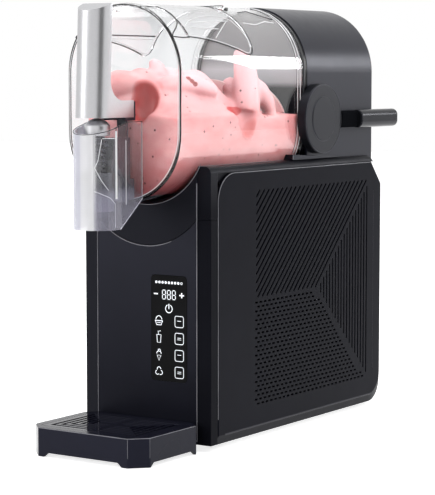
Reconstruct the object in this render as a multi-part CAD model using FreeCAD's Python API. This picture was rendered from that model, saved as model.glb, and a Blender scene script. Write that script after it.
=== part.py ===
import FreeCAD, Part
import math
import os

# Counter-top ice cream maker: a clear vessel in which a turning auger scrapes a cooled drum,
# carried on a cabinet that holds the refrigeration, with a lever tap above a drip tray.
# Millimetres. +Z is up, the tap faces -Y, X = 0 is the middle plane, Z = 0 is the worktop.

# Whole machine
FRONT = -228.0
REAR = 228.0
RUN = 0.05
GAP = 0.4

# Cabinet
CABINET_X = 75.3
CABINET_REAR = 215.5
CABINET_BOTTOM = 4.0
CABINET_TOP = 267.0
COLUMN_FRONT = -125.0
PANEL_X = 59.5
PANEL_BOTTOM = 8.0
SEAM_RADIUS = 79.1
SEAM_Z = 275.0
FLANK_STEP = 1.0
FRAME_TOP = 223.0

# Side covers
COVER_FRONT = -111.5
COVER_SKIN = 3.0
COVER_WALL = 2.5
COVER_RETURN_X = 58.0
COVER_FRONT_ROUND = 28.0
COVER_REAR_ROUND = 23.0
COVER_CUT_Y = 21.0
COVER_CUT_Z = 24.0
BEVEL_DEEP = 6.0
BEVEL_WIDE = 10.0
EDGE_CHAMFER = 1.2

# Grille in the side covers
GRILLE_FRONT = -46.5
GRILLE_REAR = 180.5
GRILLE_BOTTOM = 30.0
GRILLE_TOP = 250.0
APEX_Y = 70.5
APEX_Z = 140.0
SLOT_PITCH = 6.0
SLOT_WIDE = 2.2
DASH_LONG = 4.8
DASH_TALL = 1.9
DASH_PITCH_Y = 8.0
DASH_PITCH_Z = 4.4

# Vessel and what lies on its axis
AXIS_Z = 306.5
ARCH_Z = 362.0
VESSEL_R = 66.6
VESSEL_WALL = 3.0
VESSEL_FRONT = -161.5
VESSEL_REAR = 57.0
BULKHEAD_FRONT = 60.3
BULKHEAD_REAR = 64.2
RIB_R = 67.0
TROUGH_R = 67.4
DRUM_R = 38.0
DRUM_FRONT = -121.0
SHAFT_R = 6.0
AUGER_INNER = 40.5
AUGER_OUTER = 50.0
AUGER_PITCH = 58.0
AUGER_TURNS = 3
MIX_CAVITY_R = 51.0
LID_FRONT = -133.0
LID_REAR = -31.0
HINGE_Y = -26.0
HINGE_Z = 426.4

# Motor housing
HOUSING_R = 67.0
HOUSING_ARCH_Z = 363.0
HOUSING_WALL = 3.0
HOUSING_FRONT = 64.5
HOUSING_REAR = 201.5
FOOT_FRONT = 31.0
FOOT_REAR = 124.0
FOOT_TOP = 280.0
RIM_TOP = 274.0
RIM_REAR = 190.0

# Lock hubs and levers
HUB_Y = 80.5
HUB_Z = 315.5
HUB_R = 36.0
HUB_FACE_X = 77.6
CAP_R = 23.0
GRIP_X = 85.0
GRIP_TALL = 19.0
GRIP_Z = 314.2
GRIP_FRONT = 147.0

# Gears
GEAR_MODULE = 1.25
GEAR_TEETH = 54
PINION_TEETH = 18
GEAR_FRONT = 93.0
GEAR_WIDE = 10.0

# Tap
VALVE_Y = -202.0
SHROUD_R = 22.5
SHROUD_WALL = 2.0
SHROUD_BOTTOM = 217.0
NOZZLE_R = 16.0
NOZZLE_BORE = 13.0
CHAMBER_TOP = 270.0
SEAT_Z = 234.0
PIVOT_Y = -173.0
PIVOT_Z = 328.0
PIVOT_R = 2.5
HANDLE_X = 17.0
HANDLE_FRONT = -224.2
HANDLE_DEEP = 19.5
HANDLE_LEAN = 0.048
HANDLE_BOTTOM = 321.0
FOOT_PLATE_TOP = 337.0
EAR_IN = 10.4
EAR_OUT = 14.5
CAP_LOW = 304.0
CAP_HIGH = 320.6

# Drip tray
TRAY_X = 67.6
TRAY_REAR = -126.0
TRAY_TOP = 27.7
TRAY_CORNER = 15.0
GRATE_X = 57.0
GRATE_FRONT = -217.5
GRATE_REAR = -136.5
GRATE_THICK = 2.8

# Display
GLASS_LOW = (6.0, 65.0)
GLASS_HIGH = (48.0, 168.0)

GEAR_MID_Z = AXIS_Z + GEAR_MODULE * (GEAR_TEETH + PINION_TEETH) / 2


def vec(x, y, z):
    return FreeCAD.Vector(x, y, z)


def block(x0, x1, y0, y1, z0, z1):
    return Part.makeBox(x1 - x0, y1 - y0, z1 - z0, vec(x0, y0, z0))


def rod_x(radius, x0, x1, y, z):
    return Part.makeCylinder(radius, x1 - x0, vec(x0, y, z), vec(1, 0, 0))


def rod_y(radius, y0, y1, x, z):
    return Part.makeCylinder(radius, y1 - y0, vec(x, y0, z), vec(0, 1, 0))


def rod_z(radius, z0, z1, x, y):
    return Part.makeCylinder(radius, z1 - z0, vec(x, y, z0), vec(0, 0, 1))


def on_x(x):
    """Places a 2-D point (y, z) on the plane at that x."""
    return lambda u, v: vec(x, u, v)


def on_y(y):
    """Places a 2-D point (x, z) on the plane at that y."""
    return lambda u, v: vec(u, y, v)


def on_z(z):
    """Places a 2-D point (x, y) on the plane at that z."""
    return lambda u, v: vec(u, v, z)


def loop(place, start, *steps):
    """Closed wire from start. A step is a point, or (middle, end) for an arc through the middle."""
    edges = []
    here = start
    for step in steps + (start,):
        arc = isinstance(step[0], tuple)
        end = step[1] if arc else step
        if math.dist(here, end) < 1e-6:
            continue
        if arc:
            curve = Part.Arc(place(*here), place(*step[0]), place(*end))
        else:
            curve = Part.LineSegment(place(*here), place(*end))
        edges.append(curve.toShape())
        here = end
    return Part.Wire(edges)


def prism(wire, along):
    return Part.Face(wire).extrude(along)


def round_corner(corner, radius, before, after):
    """The (middle, end) step of a quarter round at corner; before and after are unit directions."""
    centre = [c - radius * b + radius * a for c, b, a in zip(corner, before, after)]
    middle = [m + radius * (b - a) / math.sqrt(2) for m, b, a in zip(centre, before, after)]
    end = [c + radius * a for c, a in zip(corner, after)]
    return tuple(middle), tuple(end)


def rounded_box(place, low, high, radius):
    """Closed wire of a rectangle with rounded corners."""
    left, bottom = low
    right, top = high
    return loop(
        place,
        (left + radius, bottom),
        (right - radius, bottom),
        round_corner((right, bottom), radius, (1, 0), (0, 1)),
        (right, top - radius),
        round_corner((right, top), radius, (0, 1), (-1, 0)),
        (left + radius, top),
        round_corner((left, top), radius, (-1, 0), (0, -1)),
        (left, bottom + radius),
        round_corner((left, bottom), radius, (0, -1), (1, 0)),
    )


def stadium(radius, y0, y1, low=AXIS_Z, high=ARCH_Z):
    """Upright stadium section, round below and above, run along Y."""
    wire = loop(
        on_y(y0),
        (-radius, low),
        ((0, low - radius), (radius, low)),
        (radius, high),
        ((0, high + radius), (-radius, high)),
    )
    return prism(wire, vec(0, y1 - y0, 0))


def arch(radius, y0, y1, bottom):
    """Flat-bottomed arch section of the motor housing, run along Y."""
    wire = loop(
        on_y(y0),
        (-radius, bottom),
        (radius, bottom),
        (radius, HOUSING_ARCH_Z),
        ((0, HOUSING_ARCH_Z + radius), (-radius, HOUSING_ARCH_Z)),
    )
    return prism(wire, vec(0, y1 - y0, 0))


def mirrored(shape):
    return shape.mirror(vec(0, 0, 0), vec(1, 0, 0))


def fused(first, *others):
    return first.fuse(list(others)).removeSplitter()


# Cabinet


def base_pan():
    """Shallow steel pan that carries the compressor, on four feet."""
    half, front, rear, low = 57.4, -94.0, 202.0, 7.0
    wall, upstand, foot_bore = 1.5, 12.0, 4.0
    pan = block(-half, half, front, rear, low, low + upstand)
    inside = block(-half + wall, half - wall, front + wall, rear - wall, low + wall, low + 2 * upstand)
    pan = pan.cut(inside)
    for x, y in foot_places():
        pan = pan.cut(rod_z(foot_bore, low - 1, low + wall + 1, x, y))
    return pan


def foot_places():
    return [(x, y) for x in (-46.0, 46.0) for y in (-82.0, 188.0)]


def rubber_feet():
    """Four tapered feet with a neck pushed up through the pan."""
    feet = []
    for x, y in foot_places():
        foot = Part.makeCone(8.0, 10.0, 6.9, vec(x, y, 0))
        neck = rod_z(3.9, 6.9, 9.5, x, y)
        collar = rod_z(5.2, 8.6, 10.4, x, y)
        feet.append(fused(foot, neck, collar))
    return Part.makeCompound(feet)


def hook_places():
    return ((-32.0, -20.0), (20.0, 32.0))


def column_frame():
    """Moulded front of the cabinet: a wall behind the front panel and a flank on each side of it."""
    front = COLUMN_FRONT + FLANK_STEP
    seam = COVER_FRONT - 1.0
    back, wall, flank_x, joggle_x = -95.0, 2.5, 75.0, 72.0
    frame = fused(
        block(-flank_x, flank_x, front, seam, 6.0, FRAME_TOP),
        block(-joggle_x, joggle_x, seam - 1.0, back, 18.0, FRAME_TOP),
    )
    behind = -118.0
    frame = frame.cut(block(-flank_x + wall, flank_x - wall, behind, seam - wall, 8.5, FRAME_TOP + 1))
    frame = frame.cut(block(-joggle_x + wall, joggle_x - wall, seam - wall - 1, back + 1, 8.5, FRAME_TOP + 1))
    frame = frame.cut(prism(panel_outline(0.3, PANEL_BOTTOM - 0.3), vec(0, 3.3, 0)))
    frame = frame.cut(block(-PANEL_X - 0.3, PANEL_X + 0.3, front - 1, -120.6, 190.0, FRAME_TOP + 1))
    opening = display_window(4.0)
    frame = frame.cut(block(opening[0], opening[1], front - 1, behind + 1, opening[2], opening[3]))
    for x0, x1 in hook_places():
        frame = frame.cut(block(x0 - 0.8, x1 + 0.8, front - 1, behind + 1, 9.2, 17.8))
    edges = [e for e in frame.Edges if is_upright(e) and abs(e.Vertexes[0].Y - front) < 0.01]
    corners = [e for e in edges if abs(abs(e.Vertexes[0].X) - flank_x) < 0.01]
    return frame.makeFillet(0.8, corners)


def is_upright(edge):
    ends = [v.Point for v in edge.Vertexes]
    return len(ends) == 2 and abs(ends[0].x - ends[1].x) < 1e-6 and abs(ends[0].y - ends[1].y) < 1e-6


def panel_outline(grow, bottom):
    """Front panel's outline, with the seam arc across its top."""
    half = PANEL_X + grow
    radius = SEAM_RADIUS - grow
    side = SEAM_Z - math.sqrt(radius**2 - half**2)
    return loop(
        on_y(COLUMN_FRONT),
        (-half, bottom),
        (half, bottom),
        (half, side),
        ((0, SEAM_Z - radius), (-half, side)),
    )


def display_window(inset):
    return (GLASS_LOW[0] + inset, GLASS_HIGH[0] - inset, GLASS_LOW[1] + inset, GLASS_HIGH[1] - inset)


def front_panel():
    """Flat front plate with an arched top edge and a shelf that the display glass lies on."""
    panel = prism(panel_outline(0, PANEL_BOTTOM), vec(0, 3.0, 0))
    sides = [e for e in panel.Edges if is_upright(e) and abs(e.Vertexes[0].Y - COLUMN_FRONT) < 0.01]
    panel = panel.makeChamfer(1.0, sides)
    low = (GLASS_LOW[0] - 0.2, GLASS_LOW[1] - 0.2)
    high = (GLASS_HIGH[0] + 0.2, GLASS_HIGH[1] + 0.2)
    panel = panel.cut(prism(rounded_box(on_y(COLUMN_FRONT), low, high, 4.2), vec(0, 1.2, 0)))
    opening = display_window(3.0)
    panel = panel.cut(block(opening[0], opening[1], COLUMN_FRONT, COLUMN_FRONT + 4, opening[2], opening[3]))
    for x0, x1 in hook_places():
        panel = panel.cut(block(x0 - 0.6, x1 + 0.6, COLUMN_FRONT - 1, COLUMN_FRONT + 4, 9.4, 17.6))
    return panel


def display_glass():
    """Black glass of the touch display, flush with the front panel."""
    return prism(rounded_box(on_y(COLUMN_FRONT - 0.2), GLASS_LOW, GLASS_HIGH, 4.0), vec(0, 1.3, 0))


def display_board():
    """Board with the light segments, behind the glass."""
    x0, x1, z0, z1 = display_window(5.0)
    board = block(x0, x1, -122.2, -120.8, z0, z1)
    rows = [block(x0 + 4, x1 - 4, -123.4, -122.2, z, z + 6) for z in (z0 + 12, z0 + 36, z0 + 60, z0 + 78)]
    return fused(board, *rows)


def control_board():
    """Main board on four pillars behind the column."""
    x0, x1, y, z0, z1 = -60.0, 10.0, -104.0, 60.0, 165.0
    board = block(x0, x1, y - 1.6, y, z0, z1)
    chips = [
        block(x0 + 8, x0 + 26, y, y + 14, z0 + 10, z0 + 34),
        block(x0 + 34, x0 + 46, y, y + 10, z0 + 14, z0 + 26),
        block(x0 + 12, x0 + 34, y, y + 3, z0 + 50, z0 + 72),
        rod_y(6.0, y, y + 16, x0 + 54, z0 + 56),
        rod_y(6.0, y, y + 16, x0 + 54, z0 + 74),
    ]
    pillars = [rod_y(3.0, -117.9, y - 1.6, x, z) for x in (x0 + 5, x1 - 5) for z in (z0 + 5, z1 - 5)]
    return fused(board, *chips, *pillars)


def cradle():
    """Upper moulding of the cabinet: collar, trough for the vessel, rims, and the deck behind."""
    inner_x = 71.8
    rim_x = 68.0
    rim_step = CABINET_TOP + 0.4
    round_mid = (rim_x + 7 * math.sin(math.pi / 4), RIM_TOP - 6.6 * (1 - math.cos(math.pi / 4)))
    collar_half = PANEL_X - 0.3
    seam_r = SEAM_RADIUS - 0.6
    side = SEAM_Z - math.sqrt(seam_r**2 - collar_half**2)
    collar = prism(
        loop(
            on_y(COLUMN_FRONT),
            (-75.0, FRAME_TOP + 0.3),
            (-collar_half, FRAME_TOP + 0.3),
            (-collar_half, side),
            ((0, SEAM_Z - seam_r), (collar_half, side)),
            (collar_half, FRAME_TOP + 0.3),
            (75.0, FRAME_TOP + 0.3),
            (75.0, rim_step),
            (round_mid, (rim_x, RIM_TOP)),
            (-rim_x, RIM_TOP),
            ((-round_mid[0], round_mid[1]), (-75.0, rim_step)),
        ),
        vec(0, 4.0, 0),
    )
    for x0, x1 in ((-80.0, -PANEL_X), (PANEL_X, 80.0)):
        collar = collar.cut(block(x0, x1, COLUMN_FRONT - 1, COLUMN_FRONT + FLANK_STEP, 200, 300))
    shoulder = block(-75.0, 75.0, COLUMN_FRONT + 3, COVER_FRONT - 1, FRAME_TOP + 0.3, rim_step)
    shoulder = shoulder.cut(block(-inner_x, inner_x, COLUMN_FRONT, COVER_FRONT, 200, rim_step - 9))
    skin = rod_y(TROUGH_R + 3.0, COLUMN_FRONT + 3, HOUSING_FRONT, 0, AXIS_Z)
    skin = skin.common(block(-inner_x, inner_x, COLUMN_FRONT, HOUSING_FRONT, 200, CABINET_TOP - 0.2))
    rims = prism(
        loop(
            on_y(COLUMN_FRONT + 3),
            (-inner_x, rim_step - 9),
            (inner_x, rim_step - 9),
            (inner_x, rim_step),
            (75.0, rim_step),
            (round_mid, (rim_x, RIM_TOP)),
            (-rim_x, RIM_TOP),
            ((-round_mid[0], round_mid[1]), (-75.0, rim_step)),
            (-inner_x, rim_step),
        ),
        vec(0, HOUSING_FRONT - 1 - COLUMN_FRONT - 3, 0),
    )
    deck_top = CABINET_TOP - 0.2
    deck = block(-inner_x, inner_x, HOUSING_FRONT - 30, 180.0, deck_top - 4, deck_top)
    beside = HOUSING_R + 0.6
    tie = block(beside, inner_x, HOUSING_FRONT - 2, 179.0, deck_top - 1, rim_step + 0.5)
    rail = prism(
        loop(
            on_y(HOUSING_FRONT - 2),
            (beside, rim_step),
            (75.0, rim_step),
            (round_mid, (rim_x, RIM_TOP)),
            (beside, RIM_TOP),
        ),
        vec(0, RIM_REAR - HOUSING_FRONT + 2, 0),
    )
    rail = rail.cut(prism(
        loop(
            on_x(beside - 1),
            (RIM_REAR, rim_step - 1),
            (RIM_REAR + 1, rim_step - 1),
            (RIM_REAR + 1, RIM_TOP + 1),
            (RIM_REAR - 7, RIM_TOP + 1),
        ),
        vec(10.0, 0, 0),
    ))
    side_rim = fused(tie, rail)
    tail_x = COVER_RETURN_X - 0.4
    tail_rear = CABINET_REAR - COVER_WALL - GAP
    slope_y = CABINET_REAR - COVER_CUT_Y - 1.5
    slope_z = CABINET_TOP - COVER_CUT_Z
    tail = prism(
        loop(
            on_x(-tail_x),
            (179.0, deck_top),
            (slope_y, deck_top),
            (tail_rear, slope_z),
            (tail_rear, slope_z - 6),
            (tail_rear - 2.5, slope_z - 6),
            (tail_rear - 2.5, slope_z - 1),
            (slope_y - 1, deck_top - 4),
            (179.0, deck_top - 4),
        ),
        vec(2 * tail_x, 0, 0),
    )
    whole = fused(collar, shoulder, skin, rims, deck, tail, side_rim, mirrored(side_rim))
    trough = rod_y(TROUGH_R, COLUMN_FRONT - 1, HOUSING_FRONT, 0, AXIS_Z)
    mouth = Part.makeCone(TROUGH_R + 3.5, TROUGH_R, 3.5, vec(0, COLUMN_FRONT - 0.01, AXIS_Z), vec(0, 1, 0))
    whole = whole.cut(trough).cut(mouth)
    for x, y, radius in line_drops():
        whole = whole.cut(rod_z(radius + 1.5, deck_top - 6, deck_top + 1, x, y))
    return whole.removeSplitter()


def line_drops():
    """Where the two refrigerant lines go down through the deck: x, y and tube radius."""
    return ((-20.0, 80.0, 4.0), (20.0, 82.0, 2.5))


def cover_outline(x, front, bottom, rear, top, cut_y, cut_z):
    """Side cover's outline on the plane at x, seen from the side."""
    wide = COVER_FRONT_ROUND
    tight = COVER_REAR_ROUND
    return loop(
        on_x(x),
        (front, bottom),
        (rear - tight, bottom),
        round_corner((rear, bottom), tight, (1, 0), (0, 1)),
        (rear, top - cut_z),
        (rear - cut_y, top),
        (front + wide, top),
        round_corner((front, top), wide, (-1, 0), (0, -1)),
    )


def cover_step(x0, x1, before, after, lift=0.0):
    """Stretch of the cover between two planes; before and after are (front, low and rear) insets.
    A lift carries the front and the top outwards and the rear cut up along its own line."""
    wires = []
    for x, (front_in, rear_in) in ((x0, before), (x1, after)):
        wires.append(
            cover_outline(
                x,
                COVER_FRONT + front_in - lift,
                CABINET_BOTTOM + rear_in,
                CABINET_REAR - rear_in,
                CABINET_TOP - front_in + lift,
                COVER_CUT_Y + lift * COVER_CUT_Y / COVER_CUT_Z,
                COVER_CUT_Z + lift,
            )
        )
    return Part.makeLoft(wires, True, True)


def slot_hole(y, z, length, width, angle):
    """Rectangular hole outline centred at (y, z) on the cover's face."""
    c, s = math.cos(angle), math.sin(angle)
    corners = []
    for u, v in ((-length, -width), (length, -width), (length, width), (-length, width)):
        corners.append((y + (u * c - v * s) / 2, z + (u * s + v * c) / 2))
    return loop(on_x(CABINET_X - COVER_SKIN), *corners)


def grille_holes():
    """Slanted slots above, upright slots in the rear triangle, and rows of short dashes below."""
    holes = []
    margin = 2.0
    step = SLOT_PITCH * math.sqrt(2)
    offset = APEX_Y - APEX_Z - step / 2
    while GRILLE_FRONT - offset < GRILLE_TOP - 4 * margin:
        low = max(APEX_Z, GRILLE_FRONT - offset) + margin
        high = GRILLE_TOP - margin
        middle = (low + high) / 2
        holes.append(slot_hole(middle + offset, middle, (high - low) * math.sqrt(2), SLOT_WIDE, math.pi / 4))
        offset -= step
    y = APEX_Y + 1.5 * SLOT_PITCH
    while y < GRILLE_REAR - 1:
        half = y - APEX_Y - 2 * margin
        holes.append(slot_hole(y, APEX_Z, 2 * half, SLOT_WIDE, math.pi / 2))
        y += SLOT_PITCH
    rows = int((APEX_Z - GRILLE_BOTTOM) / DASH_PITCH_Z)
    for row in range(rows):
        z = APEX_Z - DASH_PITCH_Z * (row + 0.7)
        y = GRILLE_FRONT + DASH_LONG / 2 + DASH_PITCH_Y / 2 * (row % 2)
        while y + DASH_LONG / 2 < APEX_Y + APEX_Z - z - 2 * margin:
            holes.append(slot_hole(y, z, DASH_LONG, DASH_TALL, 0))
            y += DASH_PITCH_Y
    return holes


def side_cover():
    """Right-hand cover: a face with the grille, bevelled to a return along the rear and the bottom."""
    bend_x = CABINET_X - BEVEL_DEEP
    edge_x = CABINET_X - EDGE_CHAMFER
    share = BEVEL_WIDE * (BEVEL_DEEP - EDGE_CHAMFER) / BEVEL_DEEP
    outer = fused(
        cover_step(COVER_RETURN_X, bend_x, (0, 0), (0, 0)),
        cover_step(bend_x, edge_x, (0, 0), (0, share)),
        cover_step(edge_x, CABINET_X, (0, share), (EDGE_CHAMFER, BEVEL_WIDE)),
    )
    lift = 60.0
    inner_bend = bend_x - 1.0
    inner_face = CABINET_X - COVER_SKIN
    wall = COVER_WALL
    inner = fused(
        cover_step(COVER_RETURN_X - 1, inner_bend, (wall / 2, wall), (wall / 2, wall), lift),
        cover_step(inner_bend, inner_face, (wall / 2, wall), (wall / 2, wall + BEVEL_WIDE - 1.5), lift),
    )
    cover = outer.cut(inner)
    plug_wire = loop(
        on_x(inner_face),
        (GRILLE_FRONT - 3, GRILLE_BOTTOM - 3),
        (GRILLE_REAR + 3, GRILLE_BOTTOM - 3),
        (GRILLE_REAR + 3, GRILLE_TOP + 3),
        (GRILLE_FRONT - 3, GRILLE_TOP + 3),
    )
    cover = cover.cut(prism(plug_wire, vec(COVER_SKIN, 0, 0)))
    grille = Part.makeFace([plug_wire] + grille_holes(), "Part::FaceMakerCheese")
    return cover.fuse(grille.extrude(vec(COVER_SKIN, 0, 0)))


def dust_filter():
    """Black filter mat behind the right-hand grille."""
    back = CABINET_X - COVER_SKIN - 0.3
    return block(back - 1.6, back, GRILLE_FRONT - 6, GRILLE_REAR + 6, GRILLE_BOTTOM - 4, GRILLE_TOP + 4)


def rear_cover():
    """Back plate between the side covers, with vent slots and the opening for the mains inlet."""
    half, y, thick = 57.6, 211.0, 2.5
    low, high = 8.0, CABINET_TOP - COVER_CUT_Z - 7
    plate = block(-half, half, y, y + thick, low, high)
    flange = block(-half, half, y - 8, y, low, low + 2)
    plate = fused(plate, flange)
    x0, x1, z0, z1 = inlet_window()
    plate = plate.cut(block(x0, x1, y - 1, y + 4, z0, z1))
    slots = []
    for row in range(12):
        z = 110.0 + 9.0 * row
        for x in (-46.0, 4.0):
            slots.append(block(x, x + 42, y - 1, y + 4, z, z + 3.2))
    for x, z in screw_places():
        slots.append(rod_y(1.6, y - 1, y + 4, x, z))
    return plate.cut(Part.makeCompound(slots))


def screw_places():
    return [(x, z) for x in (-52.0, 52.0) for z in (22.0, 100.0, 226.0)]


def cover_screws():
    """Six pan-head screws with cross recesses in the rear cover."""
    face = 213.5
    screws = []
    for x, z in screw_places():
        head = Part.makeCone(3.2, 2.4, 1.6, vec(x, face, z), vec(0, 1, 0))
        head = head.cut(block(x - 1.7, x + 1.7, face + 0.7, face + 2, z - 0.35, z + 0.35))
        head = head.cut(block(x - 0.35, x + 0.35, face + 0.7, face + 2, z - 1.7, z + 1.7))
        screws.append(fused(head, rod_y(1.5, face - 9, face, x, z)))
    return Part.makeCompound(screws)


def inlet_window():
    return (-45.0, -17.0, 30.0, 50.0)


def mains_inlet():
    """Three-pin appliance inlet with a flange on the rear cover."""
    x0, x1, z0, z1 = inlet_window()
    face = 213.5
    body = block(x0 + 0.3, x1 - 0.3, 190.0, face, z0 + 0.3, z1 - 0.3)
    flange = block(x0 - 6, x1 + 6, face, face + 1.6, z0 - 2, z1 + 2)
    body = fused(body, flange)
    body = body.cut(block(x0 + 2.3, x1 - 2.3, 198.0, face + 3, z0 + 2.3, z1 - 2.3))
    middle_x, middle_z = (x0 + x1) / 2, (z0 + z1) / 2
    pins = [block(middle_x + d - 1, middle_x + d + 1, 197.0, 208.5, middle_z + h - 2, middle_z + h + 2)
            for d, h in ((-7.0, -1.5), (0.0, 2.0), (7.0, -1.5))]
    return fused(body, *pins)


# Refrigeration


def compressor():
    """Hermetic compressor can, domed above and below, with its terminal box and foot plate."""
    x, y, radius, low, high = 0.0, -34.0, 44.0, 24.0, 138.0
    wall, dome = 6.0, 16.0

    def can(shrink):
        r, bottom, top = radius - shrink, low + shrink, high - shrink
        side = Part.makeCylinder(r, top - bottom, vec(x, y, bottom))
        edges = [e for e in side.Edges if isinstance(e.Curve, Part.Circle)]
        return side.makeFillet(dome, edges)

    shell = can(0).cut(can(wall))
    plate = block(x - 52, x + 52, y - 40, y + 40, low - 3, low + 1)
    plate = plate.cut(can(0))
    for px, py in grommet_places():
        plate = plate.cut(rod_z(4.5, low - 4, low + 2, px, py))
    ports = [rod_z(4.0 if px < 0 else 3.0, high - 8, high + 4, px, py) for px, py in port_places()]
    box = block(x - 14, x + 14, y - radius - 14, y - radius + 3, 60, 100).cut(can(0))
    return fused(shell, plate, box, *[p.cut(can(wall)) for p in ports])


def grommet_places():
    return [(x, y) for x in (-45.0, 45.0) for y in (-68.0, 0.0)]


def port_places():
    return ((-20.0, -34.0), (18.0, -34.0))


def compressor_grommets():
    """Four rubber grommets between the compressor's plate and the pan."""
    rings = []
    for x, y in grommet_places():
        body = fused(rod_z(8.0, 8.5, 21.0, x, y), rod_z(4.4, 21.0, 25.0, x, y), rod_z(7.0, 25.0, 28.0, x, y))
        rings.append(body.cut(rod_z(2.5, 8.0, 29.0, x, y)))
    return Part.makeCompound(rings)


COOLER = (36.0, 60.0, 56.0, 168.0, 50.0, 162.0)


def condenser():
    """Fin and tube condenser beside the fan."""
    x0, x1, y0, y1, z0, z1 = COOLER
    fins = []
    y = y0
    while y < y1:
        fins.append(block(x0, x1, y, y + 1.0, z0, z1))
        y += 5.55
    tubes = []
    for x in (x0 + 7, x1 - 7):
        for row in range(6):
            tubes.append(rod_y(3.2, y0 - 3, y1 + 2, x, z0 + 11 + 18 * row))
    ends = (y0 - 3, y1 + 2)
    headers = [block(x0 + 2, x1 - 2, y - 2, y, z0 + 4, z1 + 1) for y in ends]
    legs = [block(x0 + 2, 54.0, y - 2, y, 8.5, z0 + 6) for y in ends]
    return fused(fins[0], *fins[1:], *tubes, *headers, *legs)


FAN_Y = 112.0
FAN_Z = 106.0
FAN_R = 47.0


def fan_frame():
    """Square fan frame with a round opening and struts that carry the fan motor."""
    x0, x1, half = 8.0, 32.0, 55.0
    frame = block(x0, x1, FAN_Y - half, FAN_Y + half, FAN_Z - half, FAN_Z + half)
    frame = frame.cut(rod_x(FAN_R + 3, x0 - 1, x1 + 1, FAN_Y, FAN_Z))
    strut = block(x0, x0 + 3, FAN_Y - FAN_R - 4, FAN_Y + FAN_R + 4, FAN_Z - 3, FAN_Z + 3)
    cross = block(x0, x0 + 3, FAN_Y - 3, FAN_Y + 3, FAN_Z - FAN_R - 4, FAN_Z + FAN_R + 4)
    seat = rod_x(18.0, x0, x0 + 3, FAN_Y, FAN_Z)
    foot = block(x0, x1, FAN_Y - half, FAN_Y + half, 8.5, FAN_Z - half)
    foot = foot.cut(block(x0 + 3, x1 + 1, FAN_Y - half + 4, FAN_Y + half - 4, 11.5, FAN_Z - half - 3))
    frame = fused(frame, strut, cross, seat, foot)
    return frame.cut(rod_x(4.0, x0 - 1, x0 + 4, FAN_Y, FAN_Z))


def fan_motor():
    """Small motor behind the struts, with the spindle that carries the rotor."""
    can = rod_x(16.0, -14.0, 7.9, FAN_Y, FAN_Z)
    return fused(can, rod_x(2.5, 7.9, 24.0, FAN_Y, FAN_Z))


def fan_rotor():
    """Hub with seven pitched blades."""
    hub = rod_x(13.0, 13.0, 28.0, FAN_Y, FAN_Z)
    blades = []
    for i in range(7):
        blade = block(-1.0, 1.0, -11.0, 11.0, 10.0, FAN_R)
        blade.rotate(vec(0, 0, 0), vec(0, 0, 1), 52)
        blade.rotate(vec(0, 0, 0), vec(1, 0, 0), 360 / 7 * i)
        blade.translate(vec(20.5, FAN_Y, FAN_Z))
        blades.append(blade)
    rotor = fused(hub, *blades).common(rod_x(FAN_R, 12.0, 31.0, FAN_Y, FAN_Z))
    return rotor.cut(rod_x(2.5 + RUN, 12.0, 24.4, FAN_Y, FAN_Z))


def pipe(radius, bend, points):
    """Tube along straight runs joined by tangent arcs."""
    edges = []
    here = points[0]
    for before, corner, after in zip(points, points[1:], points[2:]):
        into = (corner - before).normalize()
        out = (after - corner).normalize()
        start = corner - into * bend
        end = corner + out * bend
        middle = corner + (out - into) * bend * (1 - 1 / math.sqrt(2))
        edges.append(Part.LineSegment(here, start).toShape())
        edges.append(Part.Arc(start, middle, end).toShape())
        here = end
    edges.append(Part.LineSegment(here, points[-1]).toShape())
    circle = Part.makeCircle(radius, points[0], points[1] - points[0])
    return Part.Wire(edges).makePipeShell([Part.Wire(circle)], True, False)


def suction_line():
    """Return line from the drum to the compressor."""
    x, y, radius = line_drops()[0]
    port_x, port_y = port_places()[0]
    return pipe(radius, 10.0, [
        vec(x, 58.5, 285), vec(x, y, 285), vec(x, y, 185), vec(x, port_y, 185), vec(port_x, port_y, 142.2)])


def liquid_line():
    """Thin line from the condenser up to the drum."""
    x, y, radius = line_drops()[1]
    top = COOLER[5] + 1.2
    return pipe(radius, 9.0, [
        vec(x, 58.5, 285), vec(x, y, 285), vec(x, y, 215), vec(48, y, 215), vec(48, y, top)])


def discharge_line():
    """Hot line from the compressor to the condenser."""
    port_x, port_y = port_places()[1]
    top = COOLER[5] + 1.2
    return pipe(3.0, 8.0, [
        vec(port_x, port_y, 142.2), vec(port_x, port_y, 182), vec(48, port_y, 182),
        vec(48, 68, 182), vec(48, 68, top)])


# Motor housing and drive


def motor_housing():
    """Arched housing with a tapering ledge on each side that reaches forward over the rim."""
    base = CABINET_TOP + 0.3
    inner = HOUSING_R - HOUSING_WALL
    shell = arch(HOUSING_R, HOUSING_FRONT, HOUSING_REAR, base)
    rear_edges = [e for e in shell.Edges
                  if all(abs(v.Y - HOUSING_REAR) < 0.01 and v.Z > base + 1 for v in e.Vertexes)]
    shell = shell.makeFillet(3.0, rear_edges)
    foot = prism(
        loop(on_x(-71.0), (FOOT_FRONT, RIM_TOP + 0.4), (FOOT_REAR, RIM_TOP + 0.4), (FOOT_FRONT, FOOT_TOP)),
        vec(142.0, 0, 0),
    )
    foot = foot.cut(rod_y(TROUGH_R, FOOT_FRONT - 1, HOUSING_FRONT + 1, 0, AXIS_Z))
    foot = foot.cut(block(-52, 52, FOOT_FRONT - 1, HOUSING_FRONT, base - 1, FOOT_TOP + 1))
    whole = fused(shell, foot)
    whole = whole.cut(arch(inner, HOUSING_FRONT - 1, HOUSING_REAR - HOUSING_WALL, base - 1).common(
        block(-inner, inner, HOUSING_FRONT - 0.01, HOUSING_REAR, base - 1, 500)))
    return whole.cut(rod_x(8.0, -80, 80, HUB_Y, HUB_Z))


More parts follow.
